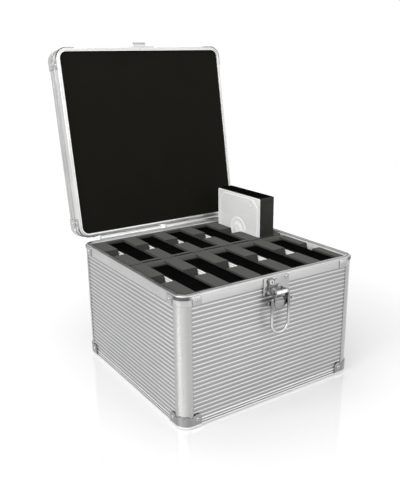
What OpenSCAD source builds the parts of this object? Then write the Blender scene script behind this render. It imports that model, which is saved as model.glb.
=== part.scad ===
// Carrying case for ten hard drives: a ribbed body with a hinged lid, a latch and a folding handle.
// The origin is the centre of the body's underside, X to the right, Y to the back, Z up.
// The latch is on the front. The case is drawn with its lid open and one drive raised.

/* [Body] */
// outside width of the body, left to right
body_w = 260; // [230:1:320]
// outside depth of the body, front to back
body_d = 254; // [230:1:300]
// height of the body up to the top of its rim
body_h = 162; // [161:1:200]
// outside radius of the four upright corners
corner_r = 14; // [12:0.5:18]
// thickness of the side walls, and of the rim on top of them
wall_t = 6; // [5.5:0.25:7]
// height of the flat band of the rim
rim_h = 12.5; // [11.5:0.5:15]
// rounding of the rim's outer edge
rim_round = 1.5; // [0.5:0.25:2]
// height of the edge profile round the bottom
edge_h = 10.3; // [8:0.1:13]
// rounding of the edge profile's lower outer edge
edge_round = 3; // [1:0.25:3]
// height on the edge profile at which its lower flute starts
flute_low = 3.4; // [3.1:0.1:3.6]
// height on the edge profile at which its upper flute starts
flute_high = 6.6; // [6:0.1:7]
// height of each flute
flute_w = 1.9; // [1:0.1:2.2]
// depth of each flute
flute_d = 0.6; // [0.3:0.1:1]
// thickness of the bottom panel
bottom_t = 3; // [2:0.25:4]
// width of the step on which the bottom panel sits
bottom_step = 3; // [2:0.25:4]

/* [Ribbed panels] */
// how far each post's lip reaches past the corner's arc over the panel's edge
lip_reach = 1; // [0.5:0.25:4]
// thickness of the post's lip over the panel's edge
lip_t = 1; // [0.8:0.1:1.4]
// thickness of a side panel without its ribs
panel_t = 2.4; // [1.8:0.1:2.8]
// height of a rib
rib_h = 0.6; // [0.3:0.05:0.7]
// width of a rib at its foot
rib_foot = 2.6; // [2:0.1:3.4]
// width of a rib at its top
rib_top = 1.1; // [0.6:0.1:1.6]
// distance between two ribs
rib_pitch = 5.3; // [4.5:0.1:8]

/* [Corner brackets and caps] */
// thickness of a corner bracket on a rim
bracket_t = 1; // [0.8:0.1:1.2]
// height of the bracket's strip round the corner
strip_h = 3.8; // [3:0.2:6]
// length of a bracket's ear
ear_w = 11.5; // [10:0.5:14]
// height of a bracket's ear on the body
ear_h = 11.5; // [9:0.5:12]
// height of a bracket's ear on the lid
lid_ear_h = 9.4; // [8:0.2:9.8]
// rounding of the ears' corners
ear_round = 2; // [1:0.25:3]
// distance from a corner's arc to the middle of a bracket's ear
ear_mid = 7.3; // [7:0.1:9]
// distance from the top of the body's rim down to the middle of its ears
ear_drop = 7.2; // [6.8:0.2:8]
// thickness of a corner cap
cap_t = 1.2; // [0.8:0.1:1.6]
// height of a corner cap at the corner
cap_h = 16; // [13:0.5:18]
// length of a cap along the straight side
cap_len = 11.5; // [10:0.5:14]
// height of a cap's straight side at its end
cap_end_h = 11; // [9:0.5:12]
// distance from a corner's arc to the rivet of a cap
cap_rivet = 5.5; // [5:0.25:7]
// radius of the round ear about the rivet of a cap
cap_ear_r = 6; // [4.5:0.25:6]

/* [Rivets] */
// radius of a rivet's head
rivet_r = 2.3; // [1.8:0.1:2.8]
// height of a rivet's head
rivet_h = 1.1; // [0.7:0.1:1.4]
// radius of the flat on a rivet's head
rivet_flat = 1.5; // [1.2:0.1:1.7]
// radius of the hole in a rivet's head
rivet_hole = 0.8; // [0.5:0.1:1]
// depth of the hole in a rivet's head
rivet_hole_d = 0.7; // [0.4:0.1:0.7]

/* [Foam and slots] */
// thickness of the pad under the drives
pad_t = 7; // [5:0.5:8]
// distance from the top of the rim down to the foam
foam_drop = 3; // [1:0.25:5]
// how much higher the back block stands
foam_step = 0.6; // [0:0.1:1]
// air between the foam and the walls
foam_gap = 0.3; // [0.2:0.05:0.5]
// thickness of the foam divider between two slots
divider_t = 19.5; // [16:0.5:20]
// foam at both ends of a row together, beyond one divider's thickness
side_foam = 14.9; // [10:0.1:18]
// how far the slots' middle lies to the right of the body's middle
slot_shift = 5; // [0:0.5:6]
// thickness of the foam beyond the slots at the front and at the back
end_wall = 6; // [5:0.25:8]
// thickness of the foam bridges between the two rows
bridge_t = 13.5; // [10:0.5:16]
// how far the bridges lie below the dividers
bridge_drop = 2; // [0:0.25:4]
// width of the cuts beside each bridge
slit_w = 0.9; // [0.5:0.1:1.4]
// depth of the cuts beside each bridge
slit_d = 12; // [6:0.5:20]
// width of a finger notch at the top
notch_w = 25; // [20:0.5:30]
// width of a finger notch at its floor
notch_floor = 14; // [10:0.5:18]
// depth of a finger notch
notch_d = 15; // [10:0.5:20]
// how far the notches lie behind the middle of their slots
notch_shift = 4; // [0:0.5:8]

/* [Hard drives] */
// play of a drive in its slot, across the slot
slot_play = 0.9; // [0.6:0.1:2]
// play of a drive in its slot, along the slot
slot_end_play = 6.65; // [4:0.05:10]
// length of a drive, standing upright
drive_l = 147; // [140:0.5:147]
// rounding of a drive's upright edges
drive_round = 2; // [1:0.25:3]
// how far the pictured drive is raised
drive_raise = 58; // [20:1:60]
// height of the cover plate on a drive's face
cover_t = 0.6; // [0.4:0.1:1]
// height of the rings on the cover plate
ring_t = 0.5; // [0.3:0.1:0.8]
// distance from the cover plate to the drive's edges
cover_in = 0.8; // [0.5:0.1:2]
// how far the middle of the cover plate is pressed out
press_t = 0.4; // [0.2:0.1:0.6]
// distance from the drive's long edges to the pressed middle
press_in = 6; // [4:0.25:8]
// distance from the drive's ends to the pressed middle
press_end = 4; // [3:0.25:8]
// size of the pressed middle's cut corners
press_cut = 10; // [6:0.5:16]
// radius of the bearing's disc on the cover plate
hub_r = 18; // [12:0.5:24]
// height of the bearing's middle above the drive's lower end
hub_up = 93; // [85:1:95]
// radius of the small ring near the drive's upper end
pivot_r = 5; // [4:0.25:5]
// width of the small ring
pivot_ring_w = 1.6; // [1:0.1:2.4]
// distance from the drive's upper end to the small ring
pivot_down = 11.5; // [11:0.25:14]
// distance from the drive's middle forward to the small ring
pivot_side = 31; // [26:0.5:32]
// thickness of a drive's casting between its cover and the hollow in its other face
casting_t = 9.6; // [8:0.2:11]
// width of the material round that hollow
hollow_in = 7; // [6:0.5:12]
// thickness of the circuit board over the hollow
board_t = 1.6; // [1:0.1:2]
// how far the circuit board lies below the face
board_deep = 1.5; // [0.5:0.1:3]
// width of the step on which the circuit board rests
board_step = 2; // [1:0.25:3]
// radius of the screw holes in a drive's narrow faces
screw_r = 1.6; // [1:0.1:1.8]
// depth of the screw holes
screw_d = 4; // [2:0.5:5]
// heights of the screw holes above the lower end
screw_up = [28.5, 70];
// width of the plug recess in a drive's lower end
plug_w = 36; // [20:1:40]
// height of the plug recess
plug_h = 6; // [3:0.5:6.5]
// thickness of the plug recess, across the drive
plug_t = 4; // [3:0.5:4]
// thickness of the plug's tongue
tongue_t = 1.2; // [0.8:0.1:1.6]

/* [Lid] */
// height of the lid
lid_h = 32; // [30:0.5:36]
// width of the lid's frame, seen from below
lid_wall = 4.6; // [4.2:0.1:5]
// height of the lid's rim band
lid_rim_h = 11; // [11:0.5:12]
// rounding of the lid's upper outer edge
lid_round = 2; // [1:0.25:2]
// gap between the rims of the closed case
close_gap = 0.3; // [0.3:0.05:0.6]
// angle to which the lid opens
open_angle = 99.5; // [95:0.5:105]
// how far the lid's foam lies above the closing plane
lid_foam_up = 2; // [1:0.25:3]
// thickness of the lid's top panel without its ribs
top_t = 2.4; // [2:0.1:2.4]
// width of the step on which the top panel sits
top_step = 2; // [1.5:0.1:2]
// distance from the lid's outer face to the groove in the body's rim
groove_in = 2; // [1.8:0.1:2]
// width of the groove in the body's rim
groove_w = 1.8; // [1.8:0.1:2]
// depth of the groove in the body's rim
groove_d = 1.4; // [1.4:0.1:2]
// gap between the lid's tongue and the groove
tongue_gap = 0.4; // [0.4:0.05:0.5]
// height of the step above the lid's rim band
step_h = 3; // [2:0.25:3.5]
// depth of the step above the lid's rim band
step_d = 0.7; // [0.4:0.1:1]
// height of the groove along the lid's side
side_groove_h = 2; // [1:0.25:3]

/* [Hinges] */
// distance from the side of the case to the outer end of a hinge
hinge_side = 29; // [28:0.5:32]
// gap between the two hinges
hinge_mid = 10; // [4:1:20]
// length of the middle knuckle
knuckle_len = 19.4; // [16:0.2:22]
// gap between two knuckles
knuckle_gap = 0.3; // [0.2:0.05:0.5]
// radius of the knuckles
knuckle_r = 4; // [3.5:0.05:4]
// distance from the back of the case to the hinge's axis
hinge_off = 4.2; // [4.2:0.1:4.5]
// radius of the hinge's pin
hinge_pin_r = 1.6; // [1.2:0.1:1.8]
// thickness of a hinge's leaf
leaf_t = 1.5; // [1.2:0.1:1.5]
// height of a hinge's leaf
leaf_h = 22; // [18:0.5:24]
// gap between a leaf and the other leaf's knuckle
leaf_gap = 0.3; // [0.2:0.05:0.4]
// reach of the stop that holds the open lid
stop_reach = 7; // [6:0.25:7.5]
// width of that stop
stop_w = 12; // [8:0.5:14]
// gap between that stop and the body's leaf
stop_gap = 0.05; // [0.05:0.01:0.1]
// distance between the rivets of a leaf
leaf_rivets = 35; // [30:1:36]
// distance from the hinge's axis to its rivets
leaf_rivet_up = 14.5; // [12:0.5:16]

/* [Latch] */
// how far the latch's middle lies to the right of the body's middle
latch_x = 1; // [-4:0.5:4]
// width of the latch's plates
plate_w = 38; // [36:1:44]
// height of the latch's plate on the body
plate_h = 21.5; // [19:0.5:22]
// thickness of the latch's plates
plate_t = 1.5; // [1.2:0.1:1.8]
// distance from the top of the rim down to the top of the latch's plate
plate_drop = 1.6; // [1.5:0.1:2]
// distance from the front of the case to the lever's axis
lever_out = 10; // [9.5:0.25:11]
// distance from the top of the rim down to the lever's axis
lever_drop = 18.5; // [18:0.25:19]
// radius of the eyes about the lever's axis
lever_eye = 3; // [2.6:0.1:3.2]
// radius of the lever's pin
lever_pin_r = 1.25; // [1:0.05:1.4]
// play round the latch's and the hinge's pins
pin_play = 0.05; // [0.03:0.01:0.08]
// thickness of the lever's sheet and of the plate's ears
sheet_t = 1.2; // [1:0.1:1.3]
// distance from the lever's middle to the outer face of its cheeks
cheek_x = 10.3; // [9.8:0.1:10.4]
// gap between the lever's cheeks and the plate's ears
cheek_gap = 0.3; // [0.2:0.05:0.4]
// distance from the lever's axis down to the bail's axis
bail_drop = 7.5; // [7:0.25:8]
// distance from the lever's axis in to the bail's axis
bail_in = 0.8; // [0.6:0.1:1]
// distance from the lever's axis in to the front of its leaf
leaf_in = 2.9; // [2.9:0.05:3.2]
// half width of the lever's shield at its top
shield_w = 17; // [14:0.5:19]
// half width of the lever's shield at its foot
shield_foot = 6; // [4:0.5:8]
// distance from the lever's axis down to the top of the shield's wings
shield_top = 10.2; // [10.2:0.1:11]
// height of the shield's upright sides
shield_side = 2.5; // [1.5:0.25:4]
// distance from the lever's axis down to the foot of the shield
shield_low = 22.5; // [20:0.5:24]
// half width of the raised tongue on the shield
tab_w = 7.5; // [6:0.25:8.5]
// how far the tongue stands out of the shield
tab_out = 2.6; // [1.5:0.1:2.8]
// radius of the bail's wire
wire_r = 1.7; // [1.4:0.05:1.8]
// half the distance between the bail's arms
bail_half = 12.5; // [12.5:0.1:13]
// length of the bail, between the middles of its axis and its cross bar
bail_len = 42.5; // [42:0.25:43]
// bending radius of the bail's corners
bail_bend = 9; // [7:0.25:9.5]
// radius of the bail's ends in the lever
bail_end_r = 1.3; // [1:0.05:1.35]
// radius of the lock's housing
lock_r = 4.5; // [4:0.1:4.8]
// how far the lock's housing stands out
lock_out = 3.4; // [2.5:0.1:3.5]
// distance from the latch's middle to the lock
lock_x = 9.5; // [9:0.25:10]
// distance from the top of the rim down to the lock
lock_drop = 6.4; // [6:0.1:6.6]
// radius of the lock's turning plug
lock_plug_r = 3.5; // [2.5:0.1:3.6]
// width of the keyway
key_w = 1; // [0.6:0.1:1.4]
// height of the keyway
key_h = 4.4; // [3:0.1:4.8]
// depth of the keyway
key_d = 2.4; // [1:0.1:2.6]
// width of the skirt under the lock
skirt_w = 7.4; // [6:0.2:8]
// length of the skirt under the lock
skirt_l = 8.6; // [7:0.1:8.8]
// how far the skirt stands out
skirt_out = 2.6; // [1.5:0.1:3]

/* [Keeper] */
// distance from the lid's lower edge to the keeper's plate
keeper_up = 2.7; // [2.5:0.1:3]
// height of the keeper's plate
keeper_h = 22; // [20:0.5:24]
// width of the keeper's hook
hook_w = 18; // [15:0.25:18]
// distance from the lid's lower edge to the shelf of the hook
shelf_up = 11.5; // [10.5:0.05:11.5]
// how far the hook stands out of the lid
hook_out = 9.1; // [9.1:0.05:9.5]
// height of the hook's lip above its shelf
lip_h = 7; // [5:0.25:8]
// rounding of the lip's upper corners
lip_round = 5; // [3:0.25:6]

/* [Handle] */
// distance from the middle of the lid forward to the handle's axis
handle_y = 10; // [0:1:20]
// height of the handle's axis above the lid
handle_up = 8.5; // [8.3:0.1:10]
// half the distance between the handle's arms
handle_half = 60; // [59:1:66]
// length of the handle, between its axis and its grip
handle_len = 30; // [28:0.5:34]
// radius of the handle's steel wire
handle_wire_r = 3; // [2.5:0.1:3.2]
// bending radius of the handle's corners
handle_bend = 9; // [8:0.5:12]
// radius of the grip
grip_r = 7; // [5.5:0.25:7.5]
// length of the grip
grip_len = 72; // [60:1:73]
// radius of the grip's end collars
collar_r = 7.6; // [7:0.1:7.8]
// length of the grip's end collars
collar_len = 5; // [3:0.5:6]
// length of the bracket's foot plate, along the handle's arms
foot_l = 34; // [30:1:36]
// width of the bracket's foot plate
foot_w = 18; // [16:0.5:20]
// thickness of the bracket's foot plate
foot_t = 2; // [1.5:0.1:2.2]
// width of the bracket's hump over the wire
hump_w = 9; // [8:0.5:10]
// thickness of the hump over the wire
hump_t = 1.8; // [1.5:0.1:2]
// distance from the handle's axis to the foot plate's rivets
foot_rivet = 12; // [11:0.25:13]

/* [Parts] */
// the part that is drawn

/* [Hidden] */
$fn = 64;
// how far a cut runs past the face that it opens
run = 1;
// slots in each row, one for every drive in the list of parts
slot_count = 5;
rim_z = body_h - rim_h;
wall_h = rim_z - edge_h;
inner_w = body_w - 2 * wall_t;
inner_d = body_d - 2 * wall_t;
inner_r = corner_r - wall_t;
side_len = body_w - 2 * corner_r;
post_reach = corner_r + lip_reach;
side_depth = body_d - 2 * corner_r;
foam_z = bottom_t + pad_t;
foam_top = body_h - foam_drop;
foam_w = inner_w - 2 * foam_gap;
foam_d = inner_d - 2 * foam_gap;
foam_r = inner_r - foam_gap;
seam_y = bridge_t / 2;
slot_len = inner_d / 2 - end_wall - seam_y;
slot_y = seam_y + slot_len / 2;
slot_pitch = (foam_w - side_foam) / slot_count;
slot_w = slot_pitch - divider_t;
drive_t = slot_w - slot_play;
drive_w = slot_len - slot_end_play;
drive_z = foam_z;
face_t = cover_t + press_t + ring_t;
hollow_d = drive_t - face_t - casting_t;
hinge_len = (body_w - hinge_mid) / 2 - hinge_side;
hinge_x = (hinge_len + hinge_mid) / 2;
hinge_y = body_d / 2 + hinge_off;
hinge_z = body_h + close_gap / 2;
lid_z = body_h + close_gap;
lid_in = corner_r - lid_wall;
lever_y = -body_d / 2 - lever_out;
lever_z = body_h - lever_drop;
bail_y = lever_y + bail_in;
bail_z = lever_z - bail_drop;
handle_z = lid_z + lid_h + handle_up;

function slot_x(i) = slot_shift + (i - (slot_count + 1) / 2) * slot_pitch;
function span(k, a, b) = k % 2 == 0 ? a : b;

// a profile carried round a rounded rectangle; its x is measured from the arc's centre
module band(w, d, r) {
    for (k = [0:3])
        rotate([0, 0, 90 * k])
            translate([span(k, w, d) / 2 - r, span(k, d, w) / 2 - r, 0]) {
                rotate([90, 0, 0])
                    linear_extrude(height = span(k, d, w) - 2 * r)
                        children();
                rotate_extrude(angle = 90)
                    children();
            }
}

module round_rect(w, d, r) {
    square([w, d - 2 * r], center = true);
    square([w - 2 * r, d], center = true);
    for (sx = [-1, 1], sy = [-1, 1])
        translate([sx * (w / 2 - r), sy * (d / 2 - r)])
            circle(r);
}

module slab(w, d, r, z, h) {
    translate([0, 0, z])
        linear_extrude(height = h)
            round_rect(w, d, r);
}

// corner k of the case, counted from the back right: the arc's centre is the new origin
module at_corner(k) {
    rotate([0, 0, 90 * k])
        translate([span(k, body_w, body_d) / 2 - corner_r, span(k, body_d, body_w) / 2 - corner_r, 0])
            children();
}

// the two faces that meet at a corner: x runs away from the corner, y up and z out of the face
module on_both_faces(r) {
    translate([r, 0, 0])
        rotate([90, 0, 90])
            mirror([1, 0, 0])
                children();
    translate([0, r, 0])
        rotate([90, 0, 180])
            children();
}

// a profile carried round a corner's arc and cut to an outline along both straight sides
module corner_piece(len, deep, high) {
    rotate_extrude(angle = 90)
        children(0);
    intersection() {
        union() {
            rotate([90, 0, 0])
                linear_extrude(height = len)
                    children(1);
            translate([-len, 0, 0])
                rotate([90, 0, 90])
                    linear_extrude(height = len)
                        children(1);
        }
        on_both_faces(corner_r - deep - run)
            linear_extrude(height = deep + high + 2 * run)
                children(2);
    }
}

module rivet() {
    difference() {
        cylinder(r1 = rivet_r, r2 = rivet_flat, h = rivet_h);
        translate([0, 0, rivet_h - rivet_hole_d])
            cylinder(r = rivet_hole, h = rivet_hole_d + run);
    }
}

// a lid part drawn as if the lid were closed, turned to the open lid
module in_lid() {
    translate([0, hinge_y, hinge_z])
        rotate([-open_angle, 0, 0])
            translate([0, -hinge_y, -hinge_z])
                children();
}

// body walls

module bottom_panel() {
    color("silver")
        slab(body_w - 2 * bottom_step, body_d - 2 * bottom_step, corner_r - bottom_step, 0, bottom_t);
}

module edge_outline() {
    translate([corner_r - wall_t, edge_round])
        square([wall_t, edge_h - edge_round]);
    translate([corner_r - wall_t, 0])
        square([wall_t - edge_round, edge_h]);
    translate([corner_r - edge_round, edge_round])
        circle(edge_round);
}

module edge_profile() {
    difference() {
        edge_outline();
        translate([corner_r - wall_t - run, -run])
            square([wall_t - bottom_step + run, bottom_t + run]);
        for (z = [flute_low, flute_high])
            translate([corner_r - flute_d, z])
                square([flute_d + run, flute_w]);
    }
}

module bottom_edge() {
    color("silver")
        band(body_w, body_d, corner_r)
            edge_profile();
}

rib_count = floor((wall_h - rib_foot) / rib_pitch) + 1;
rib_first = (wall_h - (rib_count - 1) * rib_pitch) / 2;

module panel_profile() {
    translate([-lip_t - panel_t, edge_h])
        square([panel_t, wall_h]);
}

module rib_profile() {
    for (i = [0:rib_count - 1])
        translate([-lip_t, edge_h + rib_first + i * rib_pitch])
            polygon([[0, -rib_foot / 2], [rib_h, -rib_top / 2], [rib_h, rib_top / 2],
                     [0, rib_foot / 2], [-panel_t / 2, 0]]);
}

module panel(k) {
    rotate([0, 0, 90 * k])
        translate([span(k, body_w, body_d) / 2, 0, 0])
            rotate([90, 0, 0]) {
                linear_extrude(height = span(k, side_depth, side_len), center = true)
                    panel_profile();
                linear_extrude(height = span(k, body_d, body_w) - 2 * post_reach, center = true)
                    rib_profile();
            }
}

module right_panel() {
    color("gainsboro")
        panel(0);
}

module back_panel() {
    color("gainsboro")
        panel(1);
}

module left_panel() {
    color("gainsboro")
        panel(2);
}

module front_panel() {
    color("gainsboro")
        panel(3);
}

module lining_boards() {
    color("white")
        for (k = [0:3])
            rotate([0, 0, 90 * k])
                translate([span(k, body_w, body_d) / 2 - wall_t, -span(k, side_depth, side_len) / 2, edge_h])
                    cube([wall_t - lip_t - panel_t, span(k, side_depth, side_len), wall_h]);
}

module post(k) {
    color("silver")
        at_corner(k)
            translate([0, 0, edge_h])
                linear_extrude(height = wall_h) {
                    difference() {
                        intersection() {
                            circle(corner_r);
                            square(corner_r);
                        }
                        circle(inner_r);
                    }
                    translate([corner_r - lip_t, corner_r - post_reach])
                        square([lip_t, post_reach - corner_r]);
                    translate([corner_r - post_reach, corner_r - lip_t])
                        square([post_reach - corner_r, lip_t]);
                }
}

module post_back_right() {
    post(0);
}

module post_back_left() {
    post(1);
}

module post_front_left() {
    post(2);
}

module post_front_right() {
    post(3);
}

module body_rim() {
    color("silver")
        band(body_w, body_d, corner_r)
            difference() {
                union() {
                    translate([inner_r, rim_z])
                        square([wall_t, rim_h - rim_round]);
                    translate([inner_r, rim_z])
                        square([wall_t - rim_round, rim_h]);
                    translate([corner_r - rim_round, body_h - rim_round])
                        circle(rim_round);
                }
                translate([corner_r - groove_in - groove_w, body_h - groove_d])
                    square([groove_w, groove_d + run]);
            }
}

// corner brackets and caps

// the strip's upper edge is level with the ears' upper edge, or its lower edge with their lower edge
module bracket(z_mid, h, strip_on_top) {
    strip_z = strip_on_top ? z_mid + h / 2 - strip_h : z_mid - h / 2;
    rotate_extrude(angle = 90)
        translate([corner_r, strip_z])
            square([bracket_t, strip_h]);
    on_both_faces(corner_r)
        linear_extrude(height = bracket_t) {
            translate([0, strip_z])
                square([ear_mid, strip_h]);
            translate([ear_mid, z_mid])
                round_rect(ear_w, h, ear_round);
        }
}

module body_brackets() {
    color("darkgray")
        for (k = [0:3])
            at_corner(k)
                bracket(body_h - ear_drop, ear_h, true);
}

module ear_outline() {
    square([cap_len, cap_end_h]);
    translate([cap_rivet, cap_end_h])
        circle(cap_ear_r);
}

module foot_profile(h) {
    difference() {
        union() {
            translate([corner_r - edge_round, edge_round])
                square([edge_round + cap_t, h - edge_round]);
            intersection() {
                translate([corner_r - edge_round, edge_round])
                    circle(edge_round + cap_t);
                translate([corner_r - edge_round, 0])
                    square([edge_round + cap_t, h]);
            }
        }
        translate([corner_r - edge_round - run, edge_round])
            square([edge_round + run, h]);
        translate([corner_r - edge_round, edge_round])
            circle(edge_round);
    }
}

module bottom_cap(k) {
    color("gray")
        at_corner(k)
            corner_piece(cap_len, edge_round, cap_t) {
                foot_profile(cap_h);
                foot_profile(cap_end_h + cap_ear_r + run);
                ear_outline();
            }
}

module cap_back_right() {
    bottom_cap(0);
}

module cap_back_left() {
    bottom_cap(1);
}

module cap_front_left() {
    bottom_cap(2);
}

module cap_front_right() {
    bottom_cap(3);
}

module body_rivets() {
    color("lightgray") {
        for (k = [0:3])
            at_corner(k)
                on_both_faces(corner_r) {
                    translate([ear_mid, body_h - ear_drop, bracket_t])
                        rivet();
                    translate([cap_rivet, cap_end_h, cap_t])
                        rivet();
                }
        for (p = plate_rivets)
            translate([latch_x + p[0], -body_d / 2 - plate_t, body_h - p[1]])
                rotate([90, 0, 0])
                    rivet();
        for (sx = [-1, 1], i = [-1:1])
            translate([sx * hinge_x + i * leaf_rivets, body_d / 2 + leaf_t, hinge_z - leaf_rivet_up])
                rotate([-90, 0, 0])
                    rivet();
        translate([latch_x + side_rivet[0], -body_d / 2 + lip_t - rib_h, rib_z(side_rivet[1])])
            rotate([90, 0, 0])
                cylinder(r1 = rivet_flat, r2 = rivet_hole, h = rivet_h);
    }
}

// rivets on the latch's plate: to the right of its middle, and down from the top of the rim
plate_rivets = [[-2.2, 4.2], [4.5, 15.2], [15, 5]];
// the small rivet beside the bail: to the right of the latch's middle, and the rib that it sits on
side_rivet = [27, 22];

function rib_z(i) = edge_h + rib_first + i * rib_pitch;

// foam

module foam_pad() {
    color("dimgray")
        slab(foam_w, foam_d, foam_r, bottom_t, pad_t);
}

module notch_cut(y_mid, top) {
    translate([-foam_w / 2 - run, y_mid, top])
        rotate([90, 0, 90])
            linear_extrude(height = foam_w + 2 * run)
                polygon([[-notch_floor / 2, -notch_d], [notch_floor / 2, -notch_d], [notch_w / 2, 0],
                         [notch_w / 2, run], [-notch_w / 2, run], [-notch_w / 2, 0]]);
}

module foam_half(top, y_low, y_high) {
    intersection() {
        slab(foam_w, foam_d, foam_r, foam_z, top - foam_z);
        translate([-foam_w / 2, y_low, foam_z])
            cube([foam_w, y_high - y_low, top - foam_z]);
    }
}

module foam_front() {
    color("dimgray")
        difference() {
            foam_half(foam_top, -foam_d / 2, seam_y);
            for (i = [1:slot_count])
                translate([slot_x(i) - slot_w / 2, 0, 0]) {
                    translate([0, -slot_y - slot_len / 2, foam_z - run])
                        cube([slot_w, slot_len, body_h]);
                    translate([0, -seam_y - run, foam_top - bridge_drop])
                        cube([slot_w, bridge_t + 2 * run, bridge_drop + run]);
                    for (x = [0, slot_w - slit_w])
                        translate([x, -seam_y - run, foam_top - slit_d])
                            cube([slit_w, bridge_t + 2 * run, slit_d + run]);
                }
            notch_cut(-slot_y + notch_shift, foam_top);
        }
}

module foam_back() {
    color("dimgray")
        difference() {
            foam_half(foam_top + foam_step, seam_y, foam_d / 2);
            for (i = [1:slot_count])
                translate([slot_x(i) - slot_w / 2, seam_y - run, foam_z - run])
                    cube([slot_w, slot_len + run, body_h]);
            notch_cut(slot_y + notch_shift, foam_top + foam_step);
        }
}

// hard drives: the cover faces the left

module cover_outline() {
    translate([0, drive_l / 2])
        square([drive_w - 2 * cover_in, drive_l - 2 * cover_in], center = true);
}

module pressed_outline() {
    y = drive_w / 2 - press_in;
    top = drive_l - press_end;
    polygon([[-y + press_cut, press_end], [y - press_cut, press_end], [y, press_end + press_cut],
             [y, top - press_cut], [y - press_cut, top], [-y + press_cut, top],
             [-y, top - press_cut], [-y, press_end + press_cut]]);
}

module cover_disc(y, z, r) {
    translate([y, z])
        circle(r);
}

// the cover plate, its pressed middle and the raised discs on it, drawn from the casting outwards
module drive_cover() {
    translate([-drive_t / 2 + face_t, 0, 0])
        rotate([90, 0, 90])
            mirror([0, 0, 1]) {
                linear_extrude(height = cover_t)
                    cover_outline();
                linear_extrude(height = cover_t + press_t)
                    pressed_outline();
                linear_extrude(height = face_t) {
                    cover_disc(0, hub_up, hub_r);
                    difference() {
                        cover_disc(-pivot_side, drive_l - pivot_down, pivot_r);
                        cover_disc(-pivot_side, drive_l - pivot_down, pivot_r - pivot_ring_w);
                    }
                }
            }
}

module drive_block() {
    difference() {
        union() {
            translate([face_t / 2, 0, 0])
                slab(drive_t - face_t, drive_w, drive_round, 0, drive_l);
            drive_cover();
        }
        translate([drive_t / 2 - hollow_d, -drive_w / 2 + hollow_in, hollow_in])
            cube([hollow_d + run, drive_w - 2 * hollow_in, drive_l - 2 * hollow_in]);
        translate([drive_t / 2 - board_deep - board_t, -drive_w / 2 + hollow_in - board_step,
                   hollow_in - board_step])
            cube([board_deep + board_t + run, drive_w - 2 * (hollow_in - board_step),
                  drive_l - 2 * (hollow_in - board_step)]);
        for (sy = [-1, 1], z = screw_up)
            translate([0, sy * drive_w / 2, z])
                rotate([sy * 90, 0, 0])
                    translate([0, 0, -run])
                        cylinder(r = screw_r, h = screw_d + run);
        translate([plug_t / 2, -plug_w / 2, -run])
            cube([plug_t, plug_w, plug_h + run]);
    }
    translate([drive_t / 2 - board_deep - board_t, -drive_w / 2 + hollow_in - board_step,
               hollow_in - board_step])
        cube([board_t, drive_w - 2 * (hollow_in - board_step), drive_l - 2 * (hollow_in - board_step)]);
    translate([plug_t - tongue_t / 2, -plug_w / 2, 0])
        cube([tongue_t, plug_w, plug_h]);
}

module drive(i, row, raise) {
    color("darkgray")
        translate([slot_x(i), row * slot_y, drive_z + raise])
            drive_block();
}

module drive_front_1() {
    drive(1, -1, 0);
}

module drive_front_2() {
    drive(2, -1, 0);
}

module drive_front_3() {
    drive(3, -1, 0);
}

module drive_front_4() {
    drive(4, -1, 0);
}

module drive_front_5() {
    drive(5, -1, 0);
}

module drive_back_1() {
    drive(1, 1, 0);
}

module drive_back_2() {
    drive(2, 1, 0);
}

module drive_back_3() {
    drive(3, 1, 0);
}

module drive_back_4() {
    drive(4, 1, 0);
}

module drive_back_5() {
    drive(5, 1, drive_raise);
}

// hinges

module at_hinges() {
    for (sx = [-1, 1])
        translate([sx * hinge_x, hinge_y, hinge_z])
            children();
}

module knuckle(x, len) {
    translate([x, 0, 0])
        rotate([0, 90, 0])
            cylinder(r = knuckle_r, h = len);
}

module pin_bore(r) {
    translate([-hinge_len / 2 - run, 0, 0])
        rotate([0, 90, 0])
            cylinder(r = r, h = hinge_len + 2 * run);
}

outer_len = (hinge_len - knuckle_len) / 2 - knuckle_gap;
leaf_clear = sqrt(pow(knuckle_r + leaf_gap, 2) - pow(hinge_off - leaf_t, 2));

module hinge_body_leaves() {
    color("silver")
        at_hinges()
            difference() {
                union() {
                    translate([-hinge_len / 2, -hinge_off, -leaf_h])
                        cube([hinge_len, leaf_t, leaf_h]);
                    knuckle(-hinge_len / 2, outer_len);
                    knuckle(hinge_len / 2 - outer_len, outer_len);
                }
                translate([-knuckle_len / 2 - knuckle_gap, -hinge_off - run, -knuckle_r - leaf_gap])
                    cube([knuckle_len + 2 * knuckle_gap, hinge_off + run, knuckle_r + leaf_gap + run]);
                pin_bore(hinge_pin_r + pin_play);
            }
}

module hinge_lid_leaves() {
    color("silver") {
        in_lid()
            at_hinges()
                difference() {
                    union() {
                        translate([-hinge_len / 2, -hinge_off, leaf_clear])
                            cube([hinge_len, leaf_t, leaf_h - leaf_clear]);
                        translate([-knuckle_len / 2, -hinge_off, 0])
                            cube([knuckle_len, leaf_t, leaf_clear + run]);
                        knuckle(-knuckle_len / 2, knuckle_len);
                    }
                    translate([-hinge_len / 2 - run, -hinge_off - run, -knuckle_r - run])
                        cube([hinge_len + 2 * run, run, knuckle_r + 2 * run]);
                    pin_bore(hinge_pin_r + pin_play);
                }
        at_hinges()
            difference() {
                translate([-stop_w / 2, -hinge_off + leaf_t + stop_gap, -stop_reach])
                    cube([stop_w, hinge_off - leaf_t - stop_gap + hinge_pin_r / 2, stop_reach]);
                rotate([0, 90, 0])
                    cylinder(r = (knuckle_r + hinge_pin_r) / 2, h = stop_w + run, center = true);
            }
    }
}

module hinge_pins() {
    color("gray")
        at_hinges()
            translate([-hinge_len / 2, 0, 0])
                rotate([0, 90, 0])
                    cylinder(r = hinge_pin_r, h = hinge_len);
}

// latch on the body; the lever hangs down and the bail hangs from the lever

ear_x = cheek_x - sheet_t - cheek_gap;

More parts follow.
